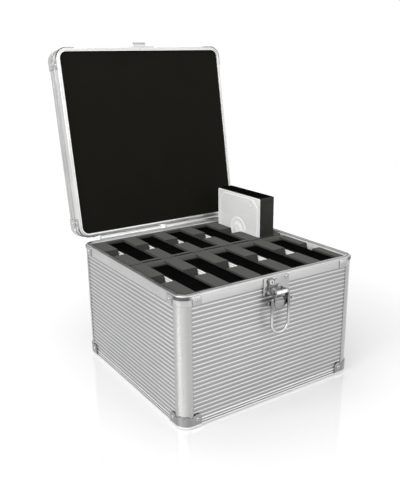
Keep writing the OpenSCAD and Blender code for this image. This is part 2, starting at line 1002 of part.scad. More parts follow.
module latch_plate() {
    color("silver")
        translate([latch_x, 0, 0])
            difference() {
                union() {
                    translate([0, -body_d / 2, body_h - plate_drop - plate_h / 2])
                        rotate([90, 0, 0])
                            linear_extrude(height = plate_t)
                                round_rect(plate_w, plate_h, ear_round);
                    for (x = [-ear_x, ear_x - sheet_t])
                        translate([x, lever_y, lever_z])
                            rotate([90, 0, 90])
                                linear_extrude(height = sheet_t) {
                                    circle(lever_eye);
                                    translate([0, -lever_eye])
                                        square([lever_out - plate_t, 2 * lever_eye]);
                                }
                }
                lever_bore(lever_pin_r + pin_play);
            }
}

module lever_bore(r) {
    translate([-cheek_x - run, lever_y, lever_z])
        rotate([0, 90, 0])
            cylinder(r = r, h = 2 * (cheek_x + run));
}

module latch_pin() {
    color("gray")
        translate([latch_x - cheek_x, lever_y, lever_z])
            rotate([0, 90, 0])
                cylinder(r = lever_pin_r, h = 2 * cheek_x);
}

// the lever's cheek, seen from its side: x to the back and y up, from the lever's axis
module cheek_outline() {
    circle(lever_eye);
    translate([bail_in, -bail_drop])
        circle(lever_eye);
    polygon([[-lever_eye, 0], [-lever_eye + bail_in, -bail_drop], [leaf_in, -shield_top - shield_side],
             [leaf_in + sheet_t, -shield_top - shield_side], [leaf_in + sheet_t, -bail_drop],
             [lever_eye, 0]]);
}

module shield_outline() {
    polygon([[-shield_w, -shield_top], [-shield_w, -shield_top - shield_side],
             [-shield_foot, -shield_low], [shield_foot, -shield_low],
             [shield_w, -shield_top - shield_side], [shield_w, -shield_top]]);
    translate([-cheek_x, -shield_top - shield_side])
        square([2 * cheek_x, shield_top + shield_side - bail_drop]);
}

module tab_outline(w) {
    translate([0, -shield_low + tab_w])
        circle(w);
    translate([-w, -shield_low + tab_w])
        square([2 * w, shield_low - tab_w - shield_top]);
}

module latch_lever() {
    color("darkgray")
        translate([latch_x, lever_y, lever_z])
            difference() {
                union() {
                    for (x = [-cheek_x, cheek_x - sheet_t])
                        translate([x, 0, 0])
                            rotate([90, 0, 90])
                                linear_extrude(height = sheet_t)
                                    cheek_outline();
                    translate([0, leaf_in + sheet_t, 0])
                        rotate([90, 0, 0])
                            linear_extrude(height = sheet_t)
                                shield_outline();
                    translate([0, leaf_in + sheet_t, 0])
                        rotate([90, 0, 0])
                            linear_extrude(height = sheet_t + tab_out)
                                tab_outline(tab_w);
                }
                translate([0, leaf_in + sheet_t + run, 0])
                    rotate([90, 0, 0])
                        linear_extrude(height = tab_out + run)
                            tab_outline(tab_w - sheet_t);
                translate([0, -lever_y, -lever_z])
                    lever_bore(lever_pin_r + pin_play);
                translate([-cheek_x - run, bail_in, -bail_drop])
                    rotate([0, 90, 0])
                        cylinder(r = bail_end_r + pin_play, h = 2 * (cheek_x + run));
            }
}

module latch_bail() {
    arm = bail_len - bail_bend;
    bend_x = bail_half - bail_bend;
    color("silver")
        translate([latch_x, bail_y, bail_z]) {
            for (m = [0, 1])
                mirror([m, 0, 0]) {
                    translate([bail_half, 0, -arm])
                        cylinder(r = wire_r, h = arm);
                    translate([bend_x, 0, -arm])
                        rotate([-90, 0, 0])
                            rotate_extrude(angle = 90)
                                translate([bail_bend, 0])
                                    circle(wire_r);
                    translate([cheek_x - sheet_t, 0, 0])
                        rotate([0, 90, 0])
                            cylinder(r = bail_end_r, h = bail_half - cheek_x + sheet_t);
                    translate([bail_half, 0, 0])
                        sphere(wire_r);
                }
            translate([-bend_x, 0, -bail_len])
                rotate([0, 90, 0])
                    cylinder(r = wire_r, h = 2 * bend_x);
        }
}

module at_lock() {
    translate([latch_x - lock_x, -body_d / 2 - plate_t, body_h - lock_drop])
        rotate([90, 0, 0])
            children();
}

module lock_housing() {
    color("gray")
        at_lock() {
            difference() {
                cylinder(r = lock_r, h = lock_out);
                translate([0, 0, -run])
                    cylinder(r = lock_plug_r + pin_play, h = lock_out + 2 * run);
            }
            difference() {
                linear_extrude(height = skirt_out) {
                    translate([-skirt_w / 2, -skirt_l + skirt_w / 2])
                        square([skirt_w, skirt_l - skirt_w / 2]);
                    translate([0, -skirt_l + skirt_w / 2])
                        circle(skirt_w / 2);
                }
                translate([0, 0, -run])
                    cylinder(r = lock_r - pin_play, h = skirt_out + 2 * run);
            }
        }
}

module lock_plug() {
    color("silver")
        at_lock()
            difference() {
                cylinder(r = lock_plug_r, h = lock_out);
                translate([-key_w / 2, -key_h / 2, lock_out - key_d])
                    cube([key_w, key_h, key_d + run]);
            }
}

// lid, drawn closed and then turned open

module lid_rim() {
    color("silver")
        in_lid()
            translate([0, 0, lid_z])
                band(body_w, body_d, corner_r) {
                    union() {
                        translate([lid_in, rim_round])
                            square([lid_wall, lid_rim_h - rim_round]);
                        translate([lid_in, 0])
                            square([lid_wall - rim_round, lid_rim_h]);
                        translate([corner_r - rim_round, rim_round])
                            circle(rim_round);
                        translate([corner_r - groove_in - groove_w + tongue_gap, -close_gap - groove_d + tongue_gap])
                            square([groove_w - 2 * tongue_gap, groove_d + close_gap]);
                    }
                }
}

module lid_outline() {
    translate([lid_in, lid_rim_h])
        square([lid_wall, lid_h - lid_rim_h - lid_round]);
    translate([lid_in, lid_rim_h])
        square([lid_wall - lid_round, lid_h - lid_rim_h]);
    translate([corner_r - lid_round, lid_h - lid_round])
        circle(lid_round);
}

panel_z = lid_h - rib_h - top_t;

module lid_frame() {
    color("silver")
        in_lid()
            translate([0, 0, lid_z])
                band(body_w, body_d, corner_r)
                    difference() {
                        lid_outline();
                        translate([lid_in - run, panel_z])
                            square([top_step + run, top_t + rib_h + run]);
                        translate([corner_r - step_d, lid_rim_h + step_h / 3])
                            square([step_d + run, step_h]);
                        translate([corner_r - step_d, (lid_h + lid_rim_h + step_h) / 2])
                            square([step_d + run, side_groove_h]);
                    }
}

top_in = lid_wall - top_step;
top_ribs = floor((side_depth - rib_foot) / rib_pitch);

module lid_panel() {
    color("gainsboro")
        in_lid()
            translate([0, 0, lid_z + panel_z]) {
                slab(body_w - 2 * top_in, body_d - 2 * top_in, corner_r - top_in, 0, top_t);
                rotate([90, 0, 90])
                    linear_extrude(height = side_len, center = true)
                        for (i = [-floor(top_ribs / 2):floor(top_ribs / 2)])
                            translate([i * rib_pitch, top_t])
                                polygon([[-rib_foot / 2, 0], [0, -top_t / 2], [rib_foot / 2, 0],
                                         [rib_top / 2, rib_h], [-rib_top / 2, rib_h]]);
            }
}

module lid_foam() {
    color("black")
        in_lid()
            slab(body_w - 2 * (lid_wall + foam_gap), body_d - 2 * (lid_wall + foam_gap), lid_in - foam_gap,
                 lid_z + lid_foam_up, panel_z - lid_foam_up);
}

module lid_brackets() {
    color("darkgray")
        in_lid()
            for (k = [0:3])
                at_corner(k)
                    bracket(lid_z + lid_rim_h / 2, lid_ear_h, false);
}

module crown_profile(h) {
    translate([corner_r, lid_h - h])
        square([cap_t, h - lid_round]);
    translate([lid_in, lid_h])
        square([lid_wall - lid_round, cap_t]);
    difference() {
        intersection() {
            translate([corner_r - lid_round, lid_h - lid_round])
                circle(lid_round + cap_t);
            translate([corner_r - lid_round, lid_h - lid_round])
                square(lid_round + cap_t);
        }
        translate([corner_r - lid_round, lid_h - lid_round])
            circle(lid_round);
    }
}

module crown_ear_outline() {
    translate([0, lid_h - cap_end_h])
        square([cap_len, cap_end_h + cap_t]);
    translate([cap_rivet, lid_h - cap_end_h])
        circle(cap_ear_r);
}

module lid_cap(k) {
    color("gray")
        in_lid()
            at_corner(k)
                translate([0, 0, lid_z])
                    corner_piece(cap_len, lid_wall, cap_t) {
                        crown_profile(cap_h);
                        crown_profile(cap_end_h + cap_ear_r + run);
                        crown_ear_outline();
                    }
}

module lid_cap_back_right() {
    lid_cap(0);
}

module lid_cap_back_left() {
    lid_cap(1);
}

module lid_cap_front_left() {
    lid_cap(2);
}

module lid_cap_front_right() {
    lid_cap(3);
}

// rivets on the keeper: to each side of its middle, and up from the lid's lower edge
keeper_rivet = [14, 19];

module lid_rivets() {
    color("lightgray")
        in_lid() {
            for (k = [0:3])
                at_corner(k)
                    on_both_faces(corner_r) {
                        translate([ear_mid, lid_z + lid_rim_h / 2, bracket_t])
                            rivet();
                        translate([cap_rivet, lid_z + lid_h - cap_end_h, cap_t])
                            rivet();
                    }
            for (sx = [-1, 1])
                translate([latch_x + sx * keeper_rivet[0], -body_d / 2 - plate_t, lid_z + keeper_rivet[1]])
                    rotate([90, 0, 0])
                        rivet();
            for (sx = [-1, 1], i = [-1:1])
                translate([sx * hinge_x + i * leaf_rivets, body_d / 2 + leaf_t, hinge_z + leaf_rivet_up])
                    rotate([-90, 0, 0])
                        rivet();
            for (sx = [-1, 1], sy = [-1, 1])
                translate([sx * handle_half, -handle_y + sy * foot_rivet, lid_z + lid_h + foot_t])
                    rivet();
        }
}

module latch_keeper() {
    color("silver")
        in_lid()
            translate([latch_x, -body_d / 2, lid_z]) {
                translate([0, 0, keeper_up + keeper_h / 2])
                    rotate([90, 0, 0])
                        linear_extrude(height = plate_t)
                            round_rect(plate_w, keeper_h, ear_round);
                translate([-hook_w / 2, -hook_out, shelf_up - plate_t])
                    cube([hook_w, hook_out - plate_t / 2, plate_t]);
                translate([0, -hook_out + plate_t, shelf_up - plate_t])
                    rotate([90, 0, 0])
                        linear_extrude(height = plate_t) {
                            translate([-hook_w / 2, 0])
                                square([hook_w, lip_h + plate_t - lip_round]);
                            translate([-hook_w / 2 + lip_round, 0])
                                square([hook_w - 2 * lip_round, lip_h + plate_t]);
                            for (sx = [-1, 1])
                                translate([sx * (hook_w / 2 - lip_round), lip_h + plate_t - lip_round])
                                    circle(lip_round);
                        }
            }
}

// handle on the lid; it hangs straight down while the lid is open

handle_rest = open_angle - 90;

module in_handle() {
    in_lid()
        translate([0, -handle_y, handle_z])
            rotate([handle_rest, 0, 0])
                children();
}

module handle_brackets() {
    hole = handle_wire_r + pin_play;
    color("silver")
        in_lid()
            for (sx = [-1, 1])
                translate([sx * handle_half, -handle_y, lid_z + lid_h]) {
                    linear_extrude(height = foot_t)
                        round_rect(foot_w, foot_l, ear_round);
                    rotate([90, 0, 90])
                        linear_extrude(height = hump_w, center = true)
                            difference() {
                                union() {
                                    translate([0, handle_up])
                                        circle(hole + hump_t);
                                    translate([-hole - hump_t, 0])
                                        square([2 * (hole + hump_t), handle_up]);
                                }
                                translate([0, handle_up])
                                    circle(hole);
                            }
                }
}

module handle_bow() {
    arm = handle_len - handle_bend;
    end_x = handle_half - hump_w / 2 - 2 * handle_bend - cheek_gap;
    color("gray")
        in_handle() {
            for (m = [0, 1])
                mirror([m, 0, 0]) {
                    translate([end_x + handle_bend, handle_bend, 0])
                        rotate([-90, 0, 0])
                            cylinder(r = handle_wire_r, h = handle_len - 2 * handle_bend);
                    translate([end_x + 2 * handle_bend, handle_bend, 0])
                        rotate([0, 0, 180])
                            rotate_extrude(angle = 90)
                                translate([handle_bend, 0])
                                    circle(handle_wire_r);
                    translate([end_x, arm, 0])
                        rotate_extrude(angle = 90)
                            translate([handle_bend, 0])
                                circle(handle_wire_r);
                    translate([end_x + 2 * handle_bend, 0, 0])
                        rotate([0, 90, 0])
                            cylinder(r = handle_wire_r, h = handle_half + hump_w - end_x - 2 * handle_bend);
                }
            translate([-end_x, handle_len, 0])
                rotate([0, 90, 0])
                    cylinder(r = handle_wire_r, h = 2 * end_x);
        }
}

module handle_grip() {
    color("black")
        in_handle()
            translate([0, handle_len, 0])
                rotate([0, 90, 0])
                    difference() {
                        union() {
                            cylinder(r = grip_r, h = grip_len, center = true);
                            for (s = [-1, 1])
                                translate([0, 0, s * (grip_len - collar_len) / 2])
                                    cylinder(r = collar_r, h = collar_len, center = true);
                        }
                        cylinder(r = handle_wire_r + pin_play, h = grip_len + 2 * run, center = true);
                    }
}

bottom_panel();
bottom_edge();
front_panel();
back_panel();
left_panel();
right_panel();
lining_boards();
post_back_right();
post_back_left();
post_front_left();
post_front_right();
body_rim();
body_brackets();
cap_back_right();
cap_back_left();
cap_front_left();
cap_front_right();
body_rivets();
foam_pad();
foam_front();
foam_back();
hinge_body_leaves();
hinge_lid_leaves();
hinge_pins();
latch_plate();
latch_pin();
latch_lever();
latch_bail();
lock_housing();
lock_plug();
lid_rim();
lid_frame();
lid_panel();
lid_foam();
lid_brackets();
lid_cap_back_right();
lid_cap_back_left();
lid_cap_front_left();
lid_cap_front_right();
lid_rivets();
latch_keeper();
handle_brackets();
handle_bow();
handle_grip();
drive_front_1();
drive_front_2();
drive_front_3();
drive_front_4();
drive_front_5();
drive_back_1();
drive_back_2();
drive_back_3();
drive_back_4();
drive_back_5();
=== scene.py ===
"""The looks of a carrying case for ten hard drives, built round its CAD frame.

Sizes are millimetres here and metres in the meshes. The origin is the middle of the body's
underside, X to the right, Y to the back, Z up. Lid parts are worked out as on the closed
case and then turned open; handle parts are worked out flat on the lid.
"""

import bmesh
import bpy
import numpy as np
from mathutils import Matrix, Vector


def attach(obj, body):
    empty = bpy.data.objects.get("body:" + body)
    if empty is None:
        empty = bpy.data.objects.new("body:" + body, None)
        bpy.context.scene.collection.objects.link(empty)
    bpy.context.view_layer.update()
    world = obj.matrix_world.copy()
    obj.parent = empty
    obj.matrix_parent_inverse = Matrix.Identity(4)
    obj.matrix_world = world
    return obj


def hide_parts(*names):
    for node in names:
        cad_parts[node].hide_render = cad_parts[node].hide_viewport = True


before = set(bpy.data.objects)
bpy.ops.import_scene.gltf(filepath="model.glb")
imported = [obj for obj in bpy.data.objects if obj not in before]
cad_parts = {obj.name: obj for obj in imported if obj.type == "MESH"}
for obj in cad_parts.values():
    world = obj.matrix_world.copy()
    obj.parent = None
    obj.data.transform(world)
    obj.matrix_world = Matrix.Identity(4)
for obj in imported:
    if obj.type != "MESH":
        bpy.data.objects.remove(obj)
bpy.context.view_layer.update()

# in metres: a millimetre, and the distance within which points merge
MM, MERGE = 0.001, 2e-6
# in degrees: the turns between faces over which an edge is rounded, or stays sharp
BEVEL_OVER, SHARP_OVER = 35, 38
# the case
BODY_W, BODY_D, BODY_H = 260.0, 254.0, 162.0
CORNERS = ("back_right", "back_left", "front_left", "front_right")
CORNER_R = 14.0
QUARTER = CORNER_R * np.pi / 2
RIM_Z, EDGE_H = 149.5, 10.3
POST_REACH, LIP = 15.0, 1.0
PANEL_T, RIB_H, RIB_FOOT, RIB_TOP, RIB_PITCH = 2.4, 0.6, 2.6, 1.1, 5.3
LID_Z, LID_H, LID_WALL = 162.3, 32.0, 4.6
LID_TOP_IN, LID_TOP_Z = 2.6, LID_Z + 29
# corner brackets and caps
EAR_MID, EAR_W, STRIP_H = 7.3, 11.5, 3.8
BODY_EAR_Z, BODY_EAR_H = BODY_H - 7.2, 11.5
LID_EAR_Z, LID_EAR_H = LID_Z + 5.5, 9.4
CAP_T, CAP_H, CAP_END_H, CAP_RIVET, CAP_EAR = 1.2, 16.0, 11.0, 5.5, 6.0
# hinges, handle and latch
HINGE_Y, HINGE_Z, LID_OPEN = 131.2, 162.15, 99.5
HINGE_X, LEAF_Y, LEAF_STEP, LEAF_RIVET = 53.0, 128.5, 35.0, 14.5
HANDLE_Y, HANDLE_Z, HANDLE_HANG, SADDLE_X = -10.0, 202.8, 9.5, 60.0
LATCH_X, FRONT, LATCH_T = 1.0, -127.0, 1.5
LEVER_Y, LEVER_Z, LEVER_HALF, LEVER_T = -137.0, 143.5, 10.3, 1.2
BAIL_Y, BAIL_Z = -136.2, 136.0
SMALL_RIVET_X, SMALL_RIVET_Z = 28.0, 127.6
# the foam and the drives
FOAM_Z, FOAM_TOP, FOAM_STEP = 10.0, 159.0, 0.6
FOAM_W, FOAM_D, FOAM_R = 247.4, 241.4, 7.7
SEAM_Y, BRIDGE_DROP = 6.75, 2.0
SLIT_W, SLIT_D = 0.9, 12.0
SLOT_SHIFT, SLOT_PITCH = 5.0, 46.5
SLOT_X = SLOT_SHIFT + SLOT_PITCH * np.arange(-2, 3)
SLOT_W, SLOT_LEN = 27.0, 108.25
SLOT_Y = SEAM_Y + SLOT_LEN / 2
NOTCH_W, NOTCH_FLOOR, NOTCH_D, NOTCH_SHIFT = 25.0, 14.0, 15.0, 4.0
DRIVE_T, DRIVE_W, DRIVE_L, DRIVE_RAISE = 26.1, 101.6, 147.0, 58.0
COVER_T, BOARD_DEEP, BOARD_HALF = 1.5, 1.5, 45.8


# ---- shapes ----


# the first and the last row of a grid
ENDS = (0, -1)


def unit(vectors):
    """Vectors in the same directions, each of them one long."""
    return vectors / np.maximum(np.linalg.norm(vectors, axis=-1, keepdims=True), 1e-9)


def packed(*values):
    """The values spread to one shape and laid side by side along a new last axis."""
    return np.stack(np.broadcast_arrays(*values), axis=-1)


def around(angle):
    """The point (cos, sin) of the circle of radius 1 at each angle."""
    return packed(np.cos(angle), np.sin(angle))


def run_along(points):
    """How far each point lies from the first one of its row, along the row."""
    steps = np.linalg.norm(np.diff(points, axis=-2), axis=-1)
    return np.concatenate([np.zeros(steps.shape[:-1] + (1,)), np.cumsum(steps, axis=-1)], axis=-1)


def lifted(flat, heights):
    """Rows of points (x, y), or one row for all the heights, each raised to its height."""
    return packed(flat[..., 0], flat[..., 1], np.reshape(heights, (-1, 1)))


def surface(points, wrap_u=False, wrap_v=False, keep=None, grain=None, caps=(), finish=0):
    """A grid of quads: points[i, j] lies at step i along u and step j along v.

    keep marks the cells that are there, and caps lists the rows that a face closes. The grain
    of a point is (where it lies along the stroke, twice, how far it lies across): unless
    given, the stroke runs in the plane of x and y, and across is the length along v.
    """
    nu, nv = points.shape[:2]
    rows = np.arange(nu * nv).reshape(nu, nv)
    loops = [rows[row] for row in caps]
    if wrap_u:
        rows = np.concatenate([rows, rows[:1]])
    if wrap_v:
        rows = np.concatenate([rows, rows[:, :1]], axis=1)
    quads = np.stack([rows[:-1, :-1], rows[1:, :-1], rows[1:, 1:], rows[:-1, 1:]], axis=-1)
    quads = quads[keep] if keep is not None else quads.reshape(-1, 4)
    if grain is None:
        grain = packed(points[..., 0], points[..., 1], run_along(points))
    return {"points": points.reshape(-1, 3), "quads": quads.reshape(-1, 4), "caps": loops,
            "grain": np.broadcast_to(grain, points.shape).reshape(-1, 3), "finish": finish}


def rounded(corners, radii, steps=5):
    """An outline with its corners rounded off.

    At each corner a circle of radius r touches both edges, so its middle lies r / sin(a) from
    the corner along their bisector, with 2a the angle between them; the arc runs from one
    touching point to the other.
    """
    p = np.asarray(corners, float)
    r = np.broadcast_to(np.asarray(radii, float), (len(p),))[:, None]
    back = unit(np.roll(p, 1, axis=0) - p)
    ahead = unit(np.roll(p, -1, axis=0) - p)
    middle = unit(back + ahead)
    sine = np.abs(back[:, :1] * middle[:, 1:] - back[:, 1:] * middle[:, :1])
    centre = p + middle * r / sine
    touch = r * np.sqrt(np.clip(1 - sine**2, 0, 1)) / sine
    start, end = p + back * touch - centre, p + ahead * touch - centre
    first = np.arctan2(start[:, 1], start[:, 0])
    turn = np.arctan2(end[:, 1], end[:, 0]) - first
    turn = (turn + np.pi) % (2 * np.pi) - np.pi
    angle = first[:, None] + turn[:, None] * np.linspace(0, 1, steps + 1)
    return (centre[:, None] + r[:, None] * around(angle)).reshape(-1, 2)


def box_outline(w, h, r, steps=5):
    """A rectangle about the origin with rounded corners."""
    return rounded([(w / 2, -h / 2), (w / 2, h / 2), (-w / 2, h / 2), (-w / 2, -h / 2)], r, steps)


def outwards(outline):
    """The outward direction at each point of an outline: its two edges' normals added up, and
    made long enough to move both edges by one."""
    edge = unit(np.roll(outline, -1, axis=0) - outline)
    normal = packed(edge[:, 1], -edge[:, 0])
    both = unit(normal + np.roll(normal, 1, axis=0))
    return both / np.clip((both * normal).sum(axis=1, keepdims=True), 0.5, 1)


def drawn_in(outline, inset, heights):
    """The outline drawn in by each inset and carried up to the height that goes with it."""
    return lifted(outline - outwards(outline) * inset[:, None, None], heights)


def plate(outline, low, high, edge=0.3, top_edge=None, finish=0):
    """A flat plate: the outline carried from low to high, and drawn in by edge * (1 - cos a)
    as a goes from 0 to 90 degrees at each of its faces, so that its rims are rounded."""
    top_edge = edge if top_edge is None else top_edge
    a = np.radians([90, 60, 30, 0])
    inset = np.concatenate([edge * (1 - np.cos(a)), top_edge * (1 - np.cos(a[::-1]))])
    z = np.concatenate([low + edge * (1 - np.sin(a)), high - top_edge * (1 - np.sin(a[::-1]))])
    points = drawn_in(outline, inset, z)
    return surface(points, wrap_v=True, grain=points[..., [0, 2, 1]], caps=ENDS, finish=finish)


def turned(profile, steps=32, closed=False, finish=0):
    """A turned part: the profile's points (r, z) carried round the z axis."""
    r, z = np.asarray(profile, float).T
    a = np.linspace(0, 2 * np.pi, steps, endpoint=False)[:, None]
    points = packed(np.cos(a) * r, np.sin(a) * r, z)
    return surface(points, wrap_u=True, wrap_v=closed, finish=finish)


def rod(path, radius, steps=16, across=(0.0, 0.0, 1.0)):
    """A round rod: a circle carried along a path that lies in the plane square to across. Its
    ends are drawn in over three rings, so that they are rounded off."""
    path = np.asarray(path, float)
    along = unit(np.gradient(path, axis=0))
    a = np.radians([75, 45, 0])
    start = path[0] + along[0] * radius * 0.4 * (1 - np.sin(a))[:, None]
    end = (path[-1] - along[-1] * radius * 0.4 * (1 - np.sin(a))[:, None])[::-1]
    tip = radius * (0.6 + 0.4 * np.cos(a))
    size = np.concatenate([tip, np.full(len(path) - 2, radius), tip[::-1]])
    along = along[[0, 0, 0, *range(1, len(path) - 1), -1, -1, -1]]
    path = np.concatenate([start, path[1:-1], end])
    up = np.asarray(across, float)
    side = np.cross(along, up)
    t = np.linspace(0, 2 * np.pi, steps, endpoint=False)
    ring = np.cos(t)[None, :, None] * side[:, None] + np.sin(t)[None, :, None] * up
    points = path[:, None] + size[:, None, None] * ring
    grain = packed(run_along(path)[:, None], radius * np.cos(t), radius * np.sin(t))
    return surface(points, wrap_v=True, grain=grain, caps=ENDS)


def arc(centre, radius, first, last, steps=8):
    """Points on a circle, from one angle to another, in degrees."""
    angles = np.radians(np.linspace(first, last, steps + 1))
    return np.asarray(centre, float) + radius * around(angles)


def block(w, h, d, edge=0.2, finish=0):
    """A small block about the origin, w by h and d high, with rounded rims."""
    return plate(box_outline(w, h, min(0.3, w / 4, h / 4), 1), -d / 2, d / 2, edge, finish=finish)


# ---- placing ----


def rotation(axis, degrees):
    """The matrix of a turn about an axis."""
    return np.array(Matrix.Rotation(np.radians(degrees), 3, axis))


def placed(shape, at=(0, 0, 0), turn=None):
    """The shape turned by a matrix and then moved."""
    points = shape["points"] if turn is None else shape["points"] @ np.asarray(turn).T
    return {**shape, "points": points + np.asarray(at, float)}


# z out of the front of the case, x to the right and y up
OUT_OF_FRONT = np.array([[1, 0, 0], [0, 0, -1], [0, 1, 0]], float)
# z out of the back of the case, x to the left and y up
OUT_OF_BACK = np.array([[-1, 0, 0], [0, 0, 1], [0, 1, 0]], float)
# z to the right, x to the back and y up
OUT_OF_RIGHT = np.array([[0, 0, 1], [1, 0, 0], [0, 1, 0]], float)
# z to the left, x to the front and y up
OUT_OF_LEFT = np.array([[0, 0, -1], [-1, 0, 0], [0, 1, 0]], float)


def open_lid(points):
    """Turns points from the closed lid to the open one, about the hinges' axis."""
    pin = np.array([0, HINGE_Y, HINGE_Z])
    return (points - pin) @ rotation("X", -LID_OPEN).T + pin


def hang_handle(points):
    """Turns points of the handle from flat, about its axis, and then opens the lid."""
    return open_lid(points @ rotation("X", HANDLE_HANG).T + [0, HANDLE_Y, HANDLE_Z])


def corner_middle(k):
    """The middle of the arc at corner k, counted from the back right, and its quarter turn."""
    w, d = (BODY_W, BODY_D) if k % 2 == 0 else (BODY_D, BODY_W)
    turn = rotation("Z", 90 * k)
    return turn @ np.array([w / 2 - CORNER_R, d / 2 - CORNER_R, 0]), turn


def at_corners(shape, corners=(0, 1, 2, 3)):
    """The shape at each of these corners; it is drawn with the arc's middle at the origin."""
    return [placed(shape, *corner_middle(k)) for k in corners]


def copies(shape, spots):
    """The shape at many spots, each a place and the way that its z axis points there."""
    return [placed(shape, place, np.array(Vector(way).to_track_quat("Z", "Y").to_matrix()))
            for place, way in spots]


def corner_spots(away, proud, z):
    """Spots on both faces of every corner, away from its arc."""
    near = np.array([[CORNER_R + proud, -away, z], [-away, CORNER_R + proud, z]])
    out = np.array([[1.0, 0, 0], [0, 1.0, 0]])
    spots = []
    for middle, turn in map(corner_middle, range(4)):
        spots += zip(near @ turn.T + middle, out @ turn.T)
    return spots


def leaf_spots(z):
    """Spots on the leaves of both hinges at one height."""
    return [((side * HINGE_X + i * LEAF_STEP, LEAF_Y, z), (0, 1, 0))
            for side in (-1, 1) for i in (-1, 0, 1)]


# ---- profiles carried round the case ----


# steps in from a round end of an ear
EAR_EASE = np.array([0, 0.04, 0.15, 0.4, 0.8, 1.35, 2.0])
# the free rim of a cap: how far out from the middle of the corner's arc, and how high
CAP_RIM = np.array([[15.2, -3.0], [15.2, -0.6], [15.05, -0.2], [14.7, 0.0], [14.02, 0.0]])


def round_case(profile):
    """A closed profile carried round the case. Its x is measured from the middle of the
    corners' arcs, so the path is four quarter circles with straights between them."""
    t = np.radians(np.linspace(0, 90, 11))
    middle = np.repeat([corner_middle(k)[0] for k in range(4)], len(t), axis=0)
    angle = (np.radians(90) * np.arange(4)[:, None] + t).reshape(-1)
    x = middle[:, :1] + profile[:, 0] * np.cos(angle)[:, None]
    y = middle[:, 1:2] + profile[:, 0] * np.sin(angle)[:, None]
    return surface(packed(x, y, profile[:, 1]), wrap_u=True, wrap_v=True)


def corner_shell(s, profile):
    """A closed profile carried round one corner, with the arc's middle at the origin: straight
    up to s = 0, round the arc up to a quarter turn, and straight again. profile[i, j] is
    (out, z) at step i along s, so its height may change on the way."""
    s, out = s[:, None], profile[..., 0]
    turn = np.clip(s / CORNER_R, 0, np.pi / 2)
    x = out * np.cos(turn) - np.maximum(s - QUARTER, 0)
    y = out * np.sin(turn) + np.minimum(s, 0)
    grain = packed(s, 0, run_along(profile))
    return surface(packed(x, y, profile[..., 1]), wrap_v=True, grain=grain, caps=ENDS)


def smooth_step(t):
    """The smooth step t * t * (3 - 2t) from 0 to 1, held at its ends."""
    t = np.clip(t, 0, 1)
    return t * t * (3 - 2 * t)


def bracket(z_mid, ear_h, strip_on_top):
    """A corner bracket: a strip STRIP_H high round the arc, with a rounded ear at each end. One
    edge of the strip runs level into an edge of the ears; from there the ears widen to ear_h.

    An edge lies ear_h / 2 - 2 + sqrt(4 - (2 - e)^2) from the middle, with e the distance to
    the ear's end, up to 2.
    """
    near, far = EAR_MID - EAR_W / 2, EAR_MID + EAR_W / 2
    ear = np.concatenate([near + EAR_EASE, far - EAR_EASE[::-1]])
    away = np.concatenate([[0, near], ear])
    s = np.concatenate([-away[::-1], np.linspace(0, QUARTER, 13)[1:-1], QUARTER + away])
    # 11 steps round the arc and two on each side of it have the strip's edges
    edges = []
    for at_strip, from_end in ((ear_h / 2, far - ear),
                               (STRIP_H - ear_h / 2, np.minimum(far - ear, ear - near))):
        edge = ear_h / 2 - 2 + np.sqrt(4 - (2 - np.minimum(from_end, 2)) ** 2)
        edges.append(np.concatenate([edge[::-1], np.full(15, at_strip), edge])[:, None])
    upper, lower = edges if strip_on_top else edges[::-1]
    out = CORNER_R + np.array([0, 0.6, 0.85, 1, 1, 0.85, 0.6, 0])
    ease = np.array([0, 0, 0.12, 0.4, 0.4, 0.12, 0, 0])
    z = np.concatenate([-lower + ease[:4], upper - ease[4:]], axis=1)
    return corner_shell(s, packed(out, z_mid + z))


def cap_stations():
    """Steps along a corner cap, and its height there: CAP_H round the arc, easing down to the
    round ear about the rivet, whose edge is CAP_END_H + sqrt(CAP_EAR^2 - (x - CAP_RIVET)^2)."""
    turn = np.radians([12, 25, 38, 50, 62, 73, 83, 90])
    away = np.concatenate([np.linspace(0, CAP_RIVET, 7), CAP_RIVET + CAP_EAR * np.sin(turn)])
    ear = CAP_END_H + np.sqrt(np.maximum(CAP_EAR**2 - (away - CAP_RIVET) ** 2, 0))
    t = np.linspace(0, 1, 17)[1:-1]
    ease = smooth_step(np.minimum(t, 1 - t) / 0.3)
    s = np.concatenate([-away[::-1], t * QUARTER, QUARTER + away])
    return s, np.concatenate([ear[::-1], ear[0] + (CAP_H - ear[0]) * ease, ear])


def cap_shell(outer, inner, foot, up):
    """A corner cap between an outer and an inner curve that are the same all the way round.
    Its rounded rim lies the cap's height above the foot, or with up -1 below it."""
    s, h = cap_stations()
    profile = np.concatenate([outer, CAP_RIM * [1, up], inner])
    profile = np.repeat(profile[None], len(s), axis=0)
    profile[:, len(outer):-len(inner), 1] += foot + up * h[:, None]
    return corner_shell(s, profile)


def bottom_cap():
    """The cap on a bottom corner: out from the case by CAP_T, rolled under the rounded edge on a
    circle of radius 3 + CAP_T about (11, 3), and rounded off along its upper rim."""
    return cap_shell(arc((11, 3), 4.2, -45.6, 0, 7), arc((11, 3), 3.02, 0, -88, 7), 0, 1)


def lid_cap():
    """The cap on a corner of the lid: over its top by CAP_T, round the edge on a circle of
    radius 2 + CAP_T about (12, 30), and down the side to the outline of the ear."""
    top = [(9.45, 32.0), (9.45, 32.8), (9.75, 33.2)]
    outer = np.concatenate([top, arc((12, 30), 3.2, 90, 0, 7)])
    return placed(cap_shell(outer, arc((12, 30), 2.02, 0, 90, 7), LID_H, -1), (0, 0, LID_Z))


def ribs(z, first, count):
    """How high the ribs stand at z, from 0 to 1: each one rises over (foot - top) / 2 as a
    smooth step t*t*(3 - 2t)."""
    nearest = first + RIB_PITCH * np.clip(np.round((z - first) / RIB_PITCH), 0, count - 1)
    return smooth_step((RIB_FOOT / 2 - np.abs(z - nearest)) / ((RIB_FOOT - RIB_TOP) / 2))


